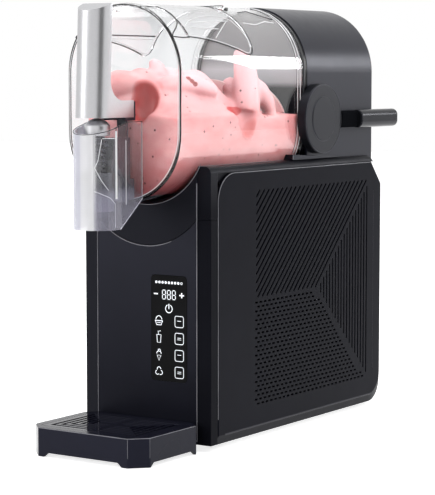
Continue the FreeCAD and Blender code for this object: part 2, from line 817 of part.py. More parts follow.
def housing_bulkhead():
    """Wall between the vessel and the housing: the drum is screwed to it and the seal bears on it."""
    front, rear = BULKHEAD_FRONT, BULKHEAD_REAR
    wall = stadium(RIB_R - 0.1, front, rear)
    wall = wall.cut(rod_y(9.2, front - 1, rear + 1, 0, AXIS_Z))
    for x, _, radius in line_drops():
        wall = wall.cut(rod_y(radius + 0.5, front - 1, rear + 1, x, 285))
    return wall


def ring_y(outer, inner, y0, y1):
    return rod_y(outer, y0, y1, 0, AXIS_Z).cut(rod_y(inner, y0 - 1, y1 + 1, 0, AXIS_Z))


def evaporator_drum():
    """Steel drum with an inner liner that leaves a refrigerant jacket, and a tunnel for the shaft."""
    rear = BULKHEAD_FRONT - 0.1
    bore = SHAFT_R + RUN
    drum = fused(
        ring_y(DRUM_R, DRUM_R - 1.5, DRUM_FRONT, rear),
        ring_y(DRUM_R - 1, bore, DRUM_FRONT, DRUM_FRONT + 3),
        ring_y(9.0, bore, DRUM_FRONT, HOUSING_FRONT + 6),
        ring_y(DRUM_R - 5, DRUM_R - 6.5, DRUM_FRONT + 10, rear - 6),
        ring_y(DRUM_R - 1, DRUM_R - 6, DRUM_FRONT + 10, DRUM_FRONT + 12),
        ring_y(DRUM_R - 1, DRUM_R - 6, rear - 8, rear - 6),
        ring_y(DRUM_R + 6, DRUM_R - 1.5, rear - 3, rear),
    )
    return drum


def drive_shaft():
    """Steel shaft from the gear to the auger, with a flat on its front end."""
    shaft = rod_y(SHAFT_R, -133.0, 118.0, 0, AXIS_Z)
    return shaft.cut(block(4.5, 8, -134, -121.8, AXIS_Z - 8, AXIS_Z + 8))


def auger():
    """White plastic scraper: a ribbon wound round the drum, tied by bars to a spider on the shaft."""
    rear = DRUM_FRONT + AUGER_PITCH * AUGER_TURNS
    hub = rod_y(12.0, -136.0, -122.0, 0, AXIS_Z)
    hub = fused(hub, Part.makeCone(12.0, 7.0, 6.0, vec(0, -136, AXIS_Z), vec(0, -1, 0)))
    pieces = []
    for i in range(3):
        arm = block(8.0, AUGER_OUTER - 1, -128.0, -122.0, AXIS_Z - 4, AXIS_Z + 4)
        bar = rod_y(2.8, -128.0, rear, (AUGER_INNER + AUGER_OUTER) / 2 + 1, AXIS_Z)
        for piece in (arm, bar):
            piece.rotate(vec(0, 0, AXIS_Z), vec(0, 1, 0), 120 * i)
            pieces.append(piece)
    return fused(hub, ribbon(), *pieces).cut(shaft_bore())


def ribbon():
    """Helical ribbon: a flat section carried along a helix round the drum."""
    thick = 3.0
    helix = Part.makeHelix(AUGER_PITCH, AUGER_PITCH * AUGER_TURNS - thick, (AUGER_INNER + AUGER_OUTER) / 2)
    corners = [
        vec(AUGER_INNER, 0, 0),
        vec(AUGER_OUTER, 0, 0),
        vec(AUGER_OUTER, 0, thick),
        vec(AUGER_INNER, 0, thick),
    ]
    section = Part.makePolygon(corners + corners[:1])
    strip = Part.Wire(helix.Edges).makePipeShell([section], True, True)
    strip.rotate(vec(0, 0, 0), vec(1, 0, 0), -90)
    strip.translate(vec(0, DRUM_FRONT - thick, AXIS_Z))
    return strip


def shaft_bore():
    bore = rod_y(SHAFT_R, -133.2, -120.0, 0, AXIS_Z)
    return bore.cut(block(4.5, 8, -134, -119, AXIS_Z - 8, AXIS_Z + 8))


def gear(teeth, y0, width, x, z, bore, turn):
    """Spur gear with involute flanks, along Y; turn is the angle of one tooth from +X, in degrees."""
    pitch_r = GEAR_MODULE * teeth / 2
    base_r = pitch_r * math.cos(math.radians(20))
    tip_r = pitch_r + 0.92 * GEAR_MODULE
    root_r = pitch_r - 1.2 * GEAR_MODULE
    backlash = 0.12

    def involute(radius):
        return math.sqrt(max((radius / base_r) ** 2 - 1, 0)) - math.acos(min(base_r / radius, 1))

    half = math.pi / (2 * teeth) + involute(pitch_r) - backlash / pitch_r
    start_r = max(base_r, root_r)
    flank = [start_r + (tip_r - start_r) * i / 4 for i in range(5)]

    def at(radius, angle):
        return (x + radius * math.cos(angle), z + radius * math.sin(angle))

    points = []
    for i in range(teeth):
        mid = math.radians(turn) + 2 * math.pi * i / teeth
        points.append(at(root_r, mid - half))
        points += [at(r, mid - half + involute(r)) for r in flank]
        points += [at(r, mid + half - involute(r)) for r in reversed(flank)]
        points.append(at(root_r, mid + half))
    wheel = prism(loop(on_y(y0), *points), vec(0, width, 0))
    return wheel.cut(rod_y(bore, y0 - 1, y0 + width + 1, x, z))


def drive_gear():
    """Large gear on the drive shaft, one tooth pointing up at the pinion, with a hub behind it."""
    wheel = gear(GEAR_TEETH, GEAR_FRONT, GEAR_WIDE, 0, AXIS_Z, SHAFT_R, 90)
    for i in range(6):
        hole = rod_y(6.0, GEAR_FRONT - 1, GEAR_FRONT + GEAR_WIDE + 1, 20, AXIS_Z)
        hole.rotate(vec(0, 0, AXIS_Z), vec(0, 1, 0), 60 * i)
        wheel = wheel.cut(hole)
    return fused(wheel, ring_y(12.0, SHAFT_R, GEAR_FRONT - 8, GEAR_FRONT))


def motor_pinion():
    """Pinion on the motor, one gap pointing down at the large gear."""
    return gear(PINION_TEETH, GEAR_FRONT - 0.5, GEAR_WIDE + 1, 0, GEAR_MID_Z, 4.0, 90 + 180 / PINION_TEETH)


def motor_shaft():
    return rod_y(4.0, GEAR_FRONT - 3, 130.0, 0, GEAR_MID_Z)


def gear_plate():
    """Bent steel bracket that carries the shaft's bush and the gear motor."""
    y, thick, half, base = 106.0, 4.0, 46.0, CABINET_TOP + 0.3
    plate = block(-half, half, y, y + thick, base, GEAR_MID_Z + 36)
    foot = block(-half, half, y, y + 30, base, base + 3)
    plate = fused(plate, foot)
    plate = plate.cut(rod_y(9.0, y - 1, y + thick + 1, 0, AXIS_Z))
    return plate.cut(rod_y(7.0, y - 1, y + thick + 1, 0, GEAR_MID_Z))


def shaft_bush():
    return ring_y(9.0, SHAFT_R + RUN, 105.0, 111.0)


def gear_motor():
    """Motor can with end caps, behind the gear plate."""
    radius, front, rear = 27.0, 110.0, 180.0
    can = rod_y(radius, front + 6, rear - 5, 0, GEAR_MID_Z)
    cap = rod_y(radius - 2, front, front + 6, 0, GEAR_MID_Z)
    end = rod_y(radius - 4, rear - 5, rear, 0, GEAR_MID_Z)
    motor = fused(can, cap, end, rod_y(9.0, rear, rear + 5, 0, GEAR_MID_Z))
    return motor.cut(rod_y(4.0 + RUN, front - 1, 130.5, 0, GEAR_MID_Z))


def lock_hub():
    """Right-hand lock disc on a pin through the housing's wall, with a recess for its cap."""
    disc = rod_x(HUB_R, HOUSING_R + 0.4, HUB_FACE_X, HUB_Y, HUB_Z)
    rims = [e for e in disc.Edges if isinstance(e.Curve, Part.Circle) and e.Vertexes[0].X > HUB_FACE_X - 1]
    disc = disc.makeFillet(2.0, rims)
    disc = disc.cut(rod_x(CAP_R + 0.4, HUB_FACE_X - 2, HUB_FACE_X + 1, HUB_Y, HUB_Z))
    pin = rod_x(8.0 - RUN, 57.0, HOUSING_R + 1, HUB_Y, HUB_Z)
    groove = rod_x(9.0, 61.0, 63.6, HUB_Y, HUB_Z).cut(rod_x(6.5, 60.0, 64.0, HUB_Y, HUB_Z))
    return fused(disc, pin).cut(groove)


def lock_clip():
    """Spring clip in the pin's groove, inside the housing."""
    ring = rod_x(11.0, 61.2, 63.4, HUB_Y, HUB_Z).cut(rod_x(6.5, 60.0, 64.0, HUB_Y, HUB_Z))
    return ring.cut(block(60.0, 64.0, HUB_Y - 5, HUB_Y + 5, HUB_Z - 14, HUB_Z))


def lock_cap():
    """Flat round cap in the lock disc's face."""
    cap = rod_x(CAP_R, HUB_FACE_X - 2, HUB_FACE_X + 0.6, HUB_Y, HUB_Z)
    rims = [e for e in cap.Edges if isinstance(e.Curve, Part.Circle) and e.Vertexes[0].X > HUB_FACE_X]
    return cap.makeChamfer(0.5, rims)


def lock_lever():
    """Arm that leaves the disc's rim and a thicker rounded grip set further out."""
    half = GRIP_TALL / 2
    low, high = GRIP_Z - half, GRIP_Z + half
    arm = block(69.5, 79.0, HUB_Y + 22, GRIP_FRONT + 6, low + 0.8, high - 0.8)
    arm = arm.makeFillet(2.5, [e for e in arm.Edges if abs(e.Vertexes[0].Y - e.Vertexes[1].Y) > 1])
    grip = block(71.0, GRIP_X, GRIP_FRONT, REAR, low, high)
    long_edges = [e for e in grip.Edges if abs(e.Vertexes[0].Y - e.Vertexes[1].Y) > 1]
    grip = grip.makeFillet(6.5, long_edges)
    ends = [e for e in grip.Edges if all(abs(v.Y - REAR) < 0.01 for v in e.Vertexes)]
    grip = grip.makeFillet(4.0, ends)
    fronts = [e for e in grip.Edges if all(abs(v.Y - GRIP_FRONT) < 0.01 for v in e.Vertexes)]
    grip = grip.makeFillet(2.0, fronts)
    return fused(arm, grip).cut(rod_x(HUB_R + 0.02, 60, 90, HUB_Y, HUB_Z))


# Vessel


def lid_side(grow, ahead):
    """Side view of the fill lid, run across the machine; widened by grow, and by ahead in front."""
    front, rear = LID_FRONT - ahead, LID_REAR + grow
    wire = loop(
        on_x(-80.0),
        (front, 440.0),
        (front, 396.5 - grow),
        ((-88.5, 391.5 - grow), (-43.0, 380.5 - grow)),
        ((-34.5 + grow / 2, 381.9 - grow / 2), (rear, 390.0)),
        (rear, 440.0),
    )
    return prism(wire, vec(160.0, 0, 0))


def vessel():
    """Clear moulded vessel: round below and above, open behind, with rear ribs and a fill opening."""
    inner = VESSEL_R - VESSEL_WALL
    body = stadium(VESSEL_R, VESSEL_FRONT, VESSEL_REAR)
    front_edges = [e for e in body.Edges if all(abs(v.Y - VESSEL_FRONT) < 0.01 for v in e.Vertexes)]
    body = body.makeFillet(2.5, front_edges)
    ribs = [stadium(RIB_R, y, y + 2.4) for y in (VESSEL_REAR - 12.4, VESSEL_REAR - 7.4, VESSEL_REAR - 2.4)]
    body = fused(body, *ribs)
    body = body.cut(stadium(inner, VESSEL_FRONT + VESSEL_WALL, VESSEL_REAR + 1))
    body = body.cut(lid_side(0.7, 2.2))
    body = body.cut(block(-9, 9, VESSEL_FRONT - 1, VESSEL_FRONT + 5, 246, 260))
    body = body.cut(block(-14.4, 14.4, HINGE_Y - 12, HINGE_Y + 4, 418, 440))
    knuckles = [hinge_knuckle(x0, x1) for x0, x1 in ((-24.0, -14.4), (14.4, 24.0))]
    return fused(body, *knuckles).cut(rod_x(1.5 + RUN, -30, 30, HINGE_Y, HINGE_Z))


def hinge_knuckle(x0, x1):
    """One barrel of the lid's hinge, standing on the vessel's top."""
    foot = block(x0, x1, HINGE_Y, HINGE_Y + 8, 421.0, HINGE_Z + 1.0)
    foot = foot.cut(rod_y(VESSEL_R - 1.5, HINGE_Y - 1, HINGE_Y + 9, 0, ARCH_Z))
    return fused(rod_x(3.2, x0, x1, HINGE_Y, HINGE_Z), foot).cut(
        rod_y(VESSEL_R - 2.9, HINGE_Y - 9, HINGE_Y + 9, 0, ARCH_Z))


def fill_lid():
    """Clear saddle-shaped lid over the fill opening, hinged at its rear edge."""
    shell = stadium(VESSEL_R, -150, 0).cut(stadium(VESSEL_R - 2.4, -151, 1))
    lid = shell.common(lid_side(0, 0)).common(block(-80, 80, -150, 0, ARCH_Z, 500))
    barrel = rod_x(3.2, -14.0, 14.0, HINGE_Y, HINGE_Z)
    web = block(-14.0, 14.0, HINGE_Y - 10, HINGE_Y, 424.6, 427.4)
    lid = fused(lid, web, barrel)
    return lid.cut(rod_x(1.5, -30, 30, HINGE_Y, HINGE_Z))


def hinge_pin():
    return rod_x(1.5, -23.8, 23.8, HINGE_Y, HINGE_Z)


def vessel_seal():
    """Soft ring between the vessel's rear edge and the bulkhead."""
    outer = stadium(VESSEL_R - 0.4, VESSEL_REAR, BULKHEAD_FRONT - 0.3)
    return outer.cut(stadium(VESSEL_R - VESSEL_WALL + 0.4, VESSEL_REAR - 1, BULKHEAD_FRONT))


def mix_section(y, side, shoulder, crest):
    """Section of the mix at y: its height at the wall, half-way up the heap and at the middle."""
    top = Part.BSplineCurve()
    heights = ((70.0, side), (46.0, (3 * side + shoulder) / 4), (27.0, shoulder), (-3.0, crest))
    left = ((-32.0, shoulder), (-50.0, (3 * side + shoulder) / 4), (-70.0, side))
    top.interpolate([vec(x, y, z) for x, z in heights + left])
    floor = [vec(-70.0, y, side), vec(-70.0, y, 200.0), vec(70.0, y, 200.0), vec(70.0, y, side)]
    return Part.Wire([top.toShape()] + Part.makePolygon(floor).Edges)


def dollop(*stations):
    """Rounded lump of mix through stations (x, y, z, radius)."""
    lumps = []
    for x, y, z, radius in stations:
        lumps.append(Part.makeSphere(radius, vec(x, y, z)))
    for (x0, y0, z0, r0), (x1, y1, z1, r1) in zip(stations, stations[1:]):
        along = vec(x1 - x0, y1 - y0, z1 - z0)
        if abs(r0 - r1) < 0.01:
            lumps.append(Part.makeCylinder(r0, along.Length, vec(x0, y0, z0), along))
        else:
            lumps.append(Part.makeCone(r0, r1, along.Length, vec(x0, y0, z0), along))
    return fused(*lumps)


def frozen_mix():
    """Mix round the auger: a level bed, a ridge along the middle, a curl in front and a soft peak."""
    radius = VESSEL_R - VESSEL_WALL - 0.3
    front = VESSEL_FRONT + VESSEL_WALL + 0.3
    rear = VESSEL_REAR - 1
    sections = (
        (front - 1, 320.0, 321.0, 324.0),
        (-150.0, 320.0, 323.0, 330.0),
        (-140.0, 320.0, 340.0, 358.0),
        (-128.0, 320.0, 345.0, 366.0),
        (-36.0, 320.0, 345.0, 366.0),
        (-18.0, 320.0, 334.0, 346.0),
        (0.0, 320.0, 326.0, 333.0),
        (rear + 1, 320.0, 325.0, 330.0),
    )
    heap = Part.makeLoft([mix_section(*section) for section in sections], True, True)
    curl = dollop((-33, -133, 340, 15), (-18, -139, 350, 13), (4, -137, 350, 11))
    fold = dollop((16, -118, 350, 11), (33, -66, 344, 11))
    tuft = dollop((-2, -109, 360, 11), (-9, -104, 371, 5))
    peak = dollop((43, -18, 330, 15), (38, -11, 362, 12), (32, -12, 376, 7))
    shoulder = dollop((40, -6, 350, 11), (53, 9, 328, 8))
    body = stadium(radius, front, rear).common(fused(heap, curl, fold, tuft, peak, shoulder))
    body = body.cut(Part.makeSphere(14.0, vec(4, -152, 338)))
    body = body.cut(Part.makeSphere(11.0, vec(54, -44, 326)))
    return body.cut(rod_y(MIX_CAVITY_R, -144.0, rear + 1, 0, AXIS_Z))


# Tap


def spout_body():
    """Smoked plastic valve body: a spine with a wedge, a duct, the nozzle and two ears for the handle."""
    back = VESSEL_FRONT - 0.1
    face = back - 3
    spine = block(-5, 5, face, back, 240, 336)
    pad = block(-EAR_OUT, EAR_OUT, face, back, 318, 336)
    wedge = prism(
        loop(
            on_x(-8.0),
            (back - 1, 302.0),
            (-186.0, 302.0),
            (-189.0, 281.0),
            (-193.0, 275.5),
            (-186.0, 261.0),
            (back - 1, 246.0),
        ),
        vec(16.0, 0, 0),
    )
    duct = block(-12, 12, VALVE_Y, back, 243, 263)
    nozzle = rod_z(NOZZLE_R, SEAT_Z, CHAMBER_TOP, 0, VALVE_Y)
    ears = [block(x0, x1, -178.0, back, 318, 336) for x0, x1 in ((-EAR_OUT, -EAR_IN), (EAR_IN, EAR_OUT))]
    body = fused(spine, pad, wedge, duct, nozzle, *ears)
    body = body.cut(block(-9, 9, VALVE_Y, back + 1, 246, 260))
    body = body.cut(rod_z(NOZZLE_BORE, SEAT_Z + 3, CHAMBER_TOP - 4, 0, VALVE_Y))
    body = body.cut(rod_z(10.5, SEAT_Z - 1, SEAT_Z + 4, 0, VALVE_Y))
    body = body.cut(rod_z(5.0 + RUN, CHAMBER_TOP - 5, CHAMBER_TOP + 1, 0, VALVE_Y))
    return body.cut(rod_x(PIVOT_R, -20, 20, PIVOT_Y, PIVOT_Z))


def spout_shroud():
    """Clear U-shaped guard round the valve, open above and below, cut back under its rear."""
    def section(radius, back):
        wire = loop(
            on_z(SHROUD_BOTTOM),
            (-radius, back),
            (-radius, VALVE_Y),
            ((0, VALVE_Y - radius), (radius, VALVE_Y)),
            (radius, back),
        )
        return prism(wire, vec(0, 0, 110.0))

    back = VESSEL_FRONT - 0.1
    guard = section(SHROUD_R, back).cut(section(SHROUD_R - SHROUD_WALL, back + 1))
    above = prism(
        loop(on_x(-30), (-230, 304), (-185, 317), (back + 1, 317), (back + 1, 340), (-230, 340)),
        vec(60, 0, 0),
    )
    below = prism(
        loop(on_x(-30), (back + 1, 244), (-196, SHROUD_BOTTOM), (-196, 210), (back + 1, 210)),
        vec(60, 0, 0),
    )
    return guard.cut(above).cut(below)


def valve_plunger():
    """Rod with a poppet head that closes the nozzle's mouth from below."""
    rod = rod_z(5.0, 228.0, 312.0, 0, VALVE_Y)
    head = Part.makeCone(9.0, 12.5, 3.0, vec(0, VALVE_Y, 225.5))
    head = fused(head, rod_z(12.5, 228.5, 233.6, 0, VALVE_Y))
    groove = rod_z(11.8, 232.8, 234.0, 0, VALVE_Y).cut(rod_z(8.0, 232.0, 235.0, 0, VALVE_Y))
    return fused(rod, head).cut(groove)


def plunger_seal():
    return rod_z(11.7, 232.9, 233.8, 0, VALVE_Y).cut(rod_z(8.1, 232.0, 235.0, 0, VALVE_Y))


def plunger_cap():
    """Silver cap on the rod, domed where the handle presses it."""
    radius, dome = 12.0, 14.0
    cap = rod_z(radius, CAP_LOW, CAP_HIGH, 0, VALVE_Y)
    edges = [e for e in cap.Edges if isinstance(e.Curve, Part.Circle) and e.Vertexes[0].Z < CAP_LOW + 1]
    cap = cap.makeFillet(1.5, edges)
    cap = cap.common(Part.makeSphere(dome, vec(0, VALVE_Y, CAP_HIGH - dome)).fuse(
        rod_z(radius + 1, CAP_LOW - 1, CAP_HIGH - dome, 0, VALVE_Y)))
    return cap.cut(rod_z(5.0, CAP_LOW - 1, 312.0, 0, VALVE_Y))


def valve_spring():
    """Coil spring between the nozzle's top and the plunger's cap."""
    wire_r, coil_r, low, high = 0.8, 7.0, CHAMBER_TOP + 0.3, CAP_LOW - 0.3
    height = high - low - 2 * wire_r
    helix = Part.makeHelix(height / 6, height, coil_r)
    circle = Part.makeCircle(wire_r, vec(coil_r, 0, 0), vec(0, 1, 0))
    coil = Part.Wire(helix.Edges).makePipeShell([Part.Wire(circle)], True, True)
    coil.translate(vec(0, VALVE_Y, low + wire_r))
    return coil


def leaned(y, z):
    """A point of the handle's side view, set back by the handle's lean at that height."""
    return y + HANDLE_LEAN * (z - HANDLE_BOTTOM), z


def dispense_handle():
    """Cast lever: a leaning D-section bar, a flared foot with two cheeks, and a tongue on the pin."""
    back = HANDLE_FRONT + HANDLE_DEEP
    foot_rear = -185.0
    sweep = 18.5
    bend_top = leaned(back, FOOT_PLATE_TOP + sweep)
    bend_end = (bend_top[0] + sweep, FOOT_PLATE_TOP)
    bend_middle = (bend_end[0] - sweep / math.sqrt(2), bend_top[1] - sweep / math.sqrt(2))
    side = prism(
        loop(
            on_x(-HANDLE_X),
            (HANDLE_FRONT, HANDLE_BOTTOM),
            leaned(HANDLE_FRONT, 420.0),
            leaned(back, 427.0),
            bend_top,
            (bend_middle, bend_end),
            (foot_rear, FOOT_PLATE_TOP),
            (foot_rear, HANDLE_BOTTOM),
        ),
        vec(2 * HANDLE_X, 0, 0),
    )
    plan = prism(
        loop(
            on_z(HANDLE_BOTTOM),
            (-HANDLE_X, -160.0),
            (HANDLE_X, -160.0),
            (HANDLE_X, HANDLE_FRONT + HANDLE_X),
            ((0, HANDLE_FRONT), (-HANDLE_X, HANDLE_FRONT + HANDLE_X)),
        ),
        vec(0, HANDLE_LEAN * 120.0, 120.0),
    )
    bar = side.common(plan)
    cheek_x = HANDLE_X - 0.6
    cheeks = block(-cheek_x, cheek_x, foot_rear - 1, -166.5, HANDLE_BOTTOM, FOOT_PLATE_TOP)
    slot_x = EAR_OUT + 0.4
    cheeks = cheeks.cut(block(-slot_x, slot_x, -182.5, -160, 300, 340))
    half = EAR_IN - 0.4
    tongue = fused(
        rod_x(7.0, -half, half, PIVOT_Y, PIVOT_Z),
        block(-half, half, -186.0, PIVOT_Y, PIVOT_Z - 7, PIVOT_Z + 7),
    )
    return fused(bar, cheeks, tongue).cut(rod_x(PIVOT_R + RUN, -14.8, 14.8, PIVOT_Y, PIVOT_Z))


def handle_pin():
    return rod_x(PIVOT_R, -14.4, 14.4, PIVOT_Y, PIVOT_Z)


# Drip tray


def tray_outline(inset):
    corner, rear_x, rear_y = TRAY_CORNER, 10.6, 11.7
    half = TRAY_X - inset
    front, rear = FRONT + inset, TRAY_REAR - inset
    ease = inset * 0.4
    return loop(
        on_z(0.0),
        (-half + corner - ease, front),
        (half - corner + ease, front),
        (half, front + corner - ease),
        (half, rear - rear_y + ease),
        (half - rear_x + ease, rear),
        (-half + rear_x - ease, rear),
        (-half, rear - rear_y + ease),
        (-half, front + corner - ease),
    )


def arched_gap(place, half, middle, along):
    """Raised lower edge between two feet, with sloping ends, run along a direction."""
    lift, slope = 4.0, 6.0
    return prism(
        loop(place, (middle - half, -1), (middle + half, -1), (middle + half - slope, lift),
             (middle - half + slope, lift)), along)


def drip_tray():
    """Removable tray on its own corner feet, with a basin, a shelf for the grate and two hooks."""
    tray = prism(tray_outline(0), vec(0, 0, TRAY_TOP))
    uprights = [e for e in tray.Edges if is_upright(e)]
    tray = tray.makeFillet(2.0, uprights)
    tops = [e for e in tray.Edges if all(abs(v.Z - TRAY_TOP) < 0.01 for v in e.Vertexes)]
    tray = tray.makeChamfer(1.0, tops)
    tray = tray.cut(arched_gap(on_y(FRONT - 1), 47.0, 0.0, vec(0, 120, 0)))
    tray = tray.cut(arched_gap(on_x(-80.0), 37.0, -176.0, vec(160, 0, 0)))
    tray = tray.cut(prism(tray_outline(2.5), vec(0, 0, 6.5)))
    shelf = TRAY_TOP - GRATE_THICK - 0.1
    tray = tray.cut(block(-GRATE_X - 0.5, GRATE_X + 0.5, GRATE_FRONT - 0.5, GRATE_REAR + 0.5, shelf, 40))
    tray = tray.cut(block(-53.5, 53.5, GRATE_FRONT + 3, GRATE_REAR - 3, 9.0, 40))
    hooks = []
    for x0, x1 in hook_places():
        hooks.append(block(x0, x1, TRAY_REAR - 1, -119.5, 10.0, 13.0))
        hooks.append(block(x0, x1, -120.5, -119.5, 13.0, 16.5))
    return fused(tray, *hooks)


def drip_grate():
    """Lift-out grate: nested C-shaped slots on each side of a spine."""
    low, high = TRAY_TOP - GRATE_THICK, TRAY_TOP
    middle = (GRATE_FRONT + GRATE_REAR) / 2
    half_y = (GRATE_REAR - GRATE_FRONT) / 2
    plate = block(-GRATE_X, GRATE_X, GRATE_FRONT, GRATE_REAR, low, high)
    width, spine, pitch, rim = 3.4, 3.0, 6.6, 6.0
    slots = []
    for ring in range(5):
        x = GRATE_X - rim - pitch * ring
        y = half_y - rim - pitch * ring
        hole = block(spine, x, middle - y, middle + y, low - 1, high + 1)
        if y > 2 * width:
            hole = hole.cut(block(0, x - width, middle - y + width, middle + y - width, low - 2, high + 2))
        slots += [hole, mirrored(hole)]
    return plate.cut(Part.makeCompound(slots))


PIECES = {
    "base_pan": base_pan,
    "rubber_feet": rubber_feet,
    "column_frame": column_frame,
    "front_panel": front_panel,
    "display_glass": display_glass,
    "display_board": display_board,
    "control_board": control_board,
    "cradle": cradle,
    "side_cover_right": side_cover,
    "dust_filter_right": dust_filter,
    "rear_cover": rear_cover,
    "cover_screws": cover_screws,
    "mains_inlet": mains_inlet,
    "compressor": compressor,
    "compressor_grommets": compressor_grommets,
    "condenser": condenser,
    "fan_frame": fan_frame,
    "fan_motor": fan_motor,
    "fan_rotor": fan_rotor,
    "suction_line": suction_line,
    "liquid_line": liquid_line,
    "discharge_line": discharge_line,
    "motor_housing": motor_housing,
    "housing_bulkhead": housing_bulkhead,
    "evaporator_drum": evaporator_drum,
    "drive_shaft": drive_shaft,
    "auger": auger,
    "drive_gear": drive_gear,
    "motor_pinion": motor_pinion,
    "motor_shaft": motor_shaft,
    "gear_plate": gear_plate,
    "shaft_bush": shaft_bush,
    "gear_motor": gear_motor,
    "lock_hub_right": lock_hub,
    "lock_clip_right": lock_clip,
    "lock_cap_right": lock_cap,
    "lock_lever_right": lock_lever,
    "vessel": vessel,
    "fill_lid": fill_lid,
    "hinge_pin": hinge_pin,
    "vessel_seal": vessel_seal,
    "frozen_mix": frozen_mix,
    "spout_body": spout_body,
    "spout_shroud": spout_shroud,
    "valve_plunger": valve_plunger,
    "plunger_seal": plunger_seal,
    "plunger_cap": plunger_cap,
    "valve_spring": valve_spring,
    "dispense_handle": dispense_handle,
    "handle_pin": handle_pin,
    "drip_tray": drip_tray,
    "drip_grate": drip_grate,
}

os.makedirs("parts", exist_ok=True)
for name, make in PIECES.items():
    shape = make()
    shape.exportStep("parts/" + name + ".step")
    if name.endswith("_right"):
        mirrored(shape).exportStep("parts/" + name.replace("_right", "_left") + ".step")
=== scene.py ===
import math

import bmesh
import bpy
import numpy as np
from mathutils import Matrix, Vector


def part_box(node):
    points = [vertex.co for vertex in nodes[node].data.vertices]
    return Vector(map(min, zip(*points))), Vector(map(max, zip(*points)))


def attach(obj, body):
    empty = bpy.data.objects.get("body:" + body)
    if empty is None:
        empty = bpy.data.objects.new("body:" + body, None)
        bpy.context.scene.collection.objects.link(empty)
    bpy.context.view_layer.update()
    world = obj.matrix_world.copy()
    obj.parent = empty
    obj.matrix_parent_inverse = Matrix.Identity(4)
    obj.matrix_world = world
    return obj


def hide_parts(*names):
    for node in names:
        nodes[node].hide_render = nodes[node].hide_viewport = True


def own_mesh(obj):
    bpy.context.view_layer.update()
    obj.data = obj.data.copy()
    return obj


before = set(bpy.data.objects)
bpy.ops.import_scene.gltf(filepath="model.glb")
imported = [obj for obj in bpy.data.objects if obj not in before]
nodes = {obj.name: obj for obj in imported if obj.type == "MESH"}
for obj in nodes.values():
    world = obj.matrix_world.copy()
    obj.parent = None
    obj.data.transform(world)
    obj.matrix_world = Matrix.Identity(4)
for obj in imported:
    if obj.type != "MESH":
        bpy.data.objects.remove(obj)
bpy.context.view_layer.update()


# Base pan and feet
# The pan is pressed from galvanised sheet with a low flange all round. Four moulded rubber feet
# hold it off the worktop; their necks are pushed up through holes in it.

def finish(name, colour, roughness, metallic=0.0):
    """A new material with one shader; returns the material, its tree and the shader."""
    material = bpy.data.materials.new(name)
    material.use_nodes = True
    tree = material.node_tree
    shader = tree.nodes["Principled BSDF"]
    shader.inputs["Base Color"].default_value = (*colour, 1.0)
    shader.inputs["Roughness"].default_value = roughness
    shader.inputs["Metallic"].default_value = metallic
    return material, tree, shader


def grain(tree, size, detail=2.0, stretch=(1.0, 1.0, 1.0)):
    """Noise fixed to the piece, with features about size metres across."""
    where = tree.nodes.new("ShaderNodeTexCoord")
    fitted = tree.nodes.new("ShaderNodeMapping")
    fitted.inputs["Scale"].default_value = stretch
    noise = tree.nodes.new("ShaderNodeTexNoise")
    noise.inputs["Scale"].default_value = 1.0 / size
    noise.inputs["Detail"].default_value = detail
    tree.links.new(where.outputs["Object"], fitted.inputs["Vector"])
    tree.links.new(fitted.outputs["Vector"], noise.inputs["Vector"])
    return noise.outputs["Fac"]


def tint(tree, shader, pattern, dark, light, low=0.35, high=0.65):
    """Colours the surface from dark to light as the pattern goes from low to high."""
    ramp = tree.nodes.new("ShaderNodeValToRGB")
    ramp.color_ramp.elements[0].position = low
    ramp.color_ramp.elements[0].color = (*dark, 1.0)
    ramp.color_ramp.elements[1].position = high
    ramp.color_ramp.elements[1].color = (*light, 1.0)
    tree.links.new(pattern, ramp.inputs["Fac"])
    tree.links.new(ramp.outputs["Color"], shader.inputs["Base Color"])
    return ramp.outputs["Color"]


def polish(tree, shader, pattern, low, high):
    """Lets the roughness wander between low and high with the pattern."""
    span = tree.nodes.new("ShaderNodeMapRange")
    span.inputs["From Min"].default_value = 0.3
    span.inputs["From Max"].default_value = 0.7
    span.inputs["To Min"].default_value = low
    span.inputs["To Max"].default_value = high
    tree.links.new(pattern, span.inputs["Value"])
    tree.links.new(span.outputs["Result"], shader.inputs["Roughness"])


def relief(tree, shader, pattern, depth, strength=1.0):
    """Raises the surface by the pattern; depth is in metres."""
    bump = tree.nodes.new("ShaderNodeBump")
    bump.inputs["Distance"].default_value = depth
    bump.inputs["Strength"].default_value = strength
    tree.links.new(pattern, bump.inputs["Height"])
    tree.links.new(bump.outputs["Normal"], shader.inputs["Normal"])


def shade(colour, by):
    """The colour made darker or lighter by a factor."""
    return tuple(min(c * by, 1.0) for c in colour)


def dress(material, *names):
    """Gives CAD nodes a material."""
    for name in names:
        mesh = nodes[name].data
        mesh.materials.clear()
        mesh.materials.append(material)


ZINC = (0.50, 0.52, 0.53)
zinc, tree, shader = finish("galvanised_sheet", ZINC, 0.45, 1.0)
spangle = tree.nodes.new("ShaderNodeTexVoronoi")
spangle.inputs["Scale"].default_value = 130.0
where = tree.nodes.new("ShaderNodeTexCoord")
tree.links.new(where.outputs["Object"], spangle.inputs["Vector"])
tint(tree, shader, spangle.outputs["Color"], shade(ZINC, 0.75), shade(ZINC, 1.15), 0.2, 0.8)
polish(tree, shader, grain(tree, 0.02), 0.35, 0.55)
dress(zinc, "base_pan", "gear_plate", "fan_motor", "gear_motor")

RUBBER = (0.016, 0.016, 0.017)
rubber, tree, shader = finish("black_rubber", RUBBER, 0.75)
tint(tree, shader, grain(tree, 0.006), shade(RUBBER, 0.7), shade(RUBBER, 1.5))
relief(tree, shader, grain(tree, 0.0006), 0.00005)
dress(rubber, "rubber_feet", "compressor_grommets", "vessel_seal", "plunger_seal")


# Front of the cabinet
# The column frame, the front panel with its arched top edge and the cradle that the vessel lies in
# are satin mouldings in blue-black plastic, clipped together so that only thin seams show.

MM = 0.001
CHARCOAL = (0.0056, 0.0058, 0.0084)


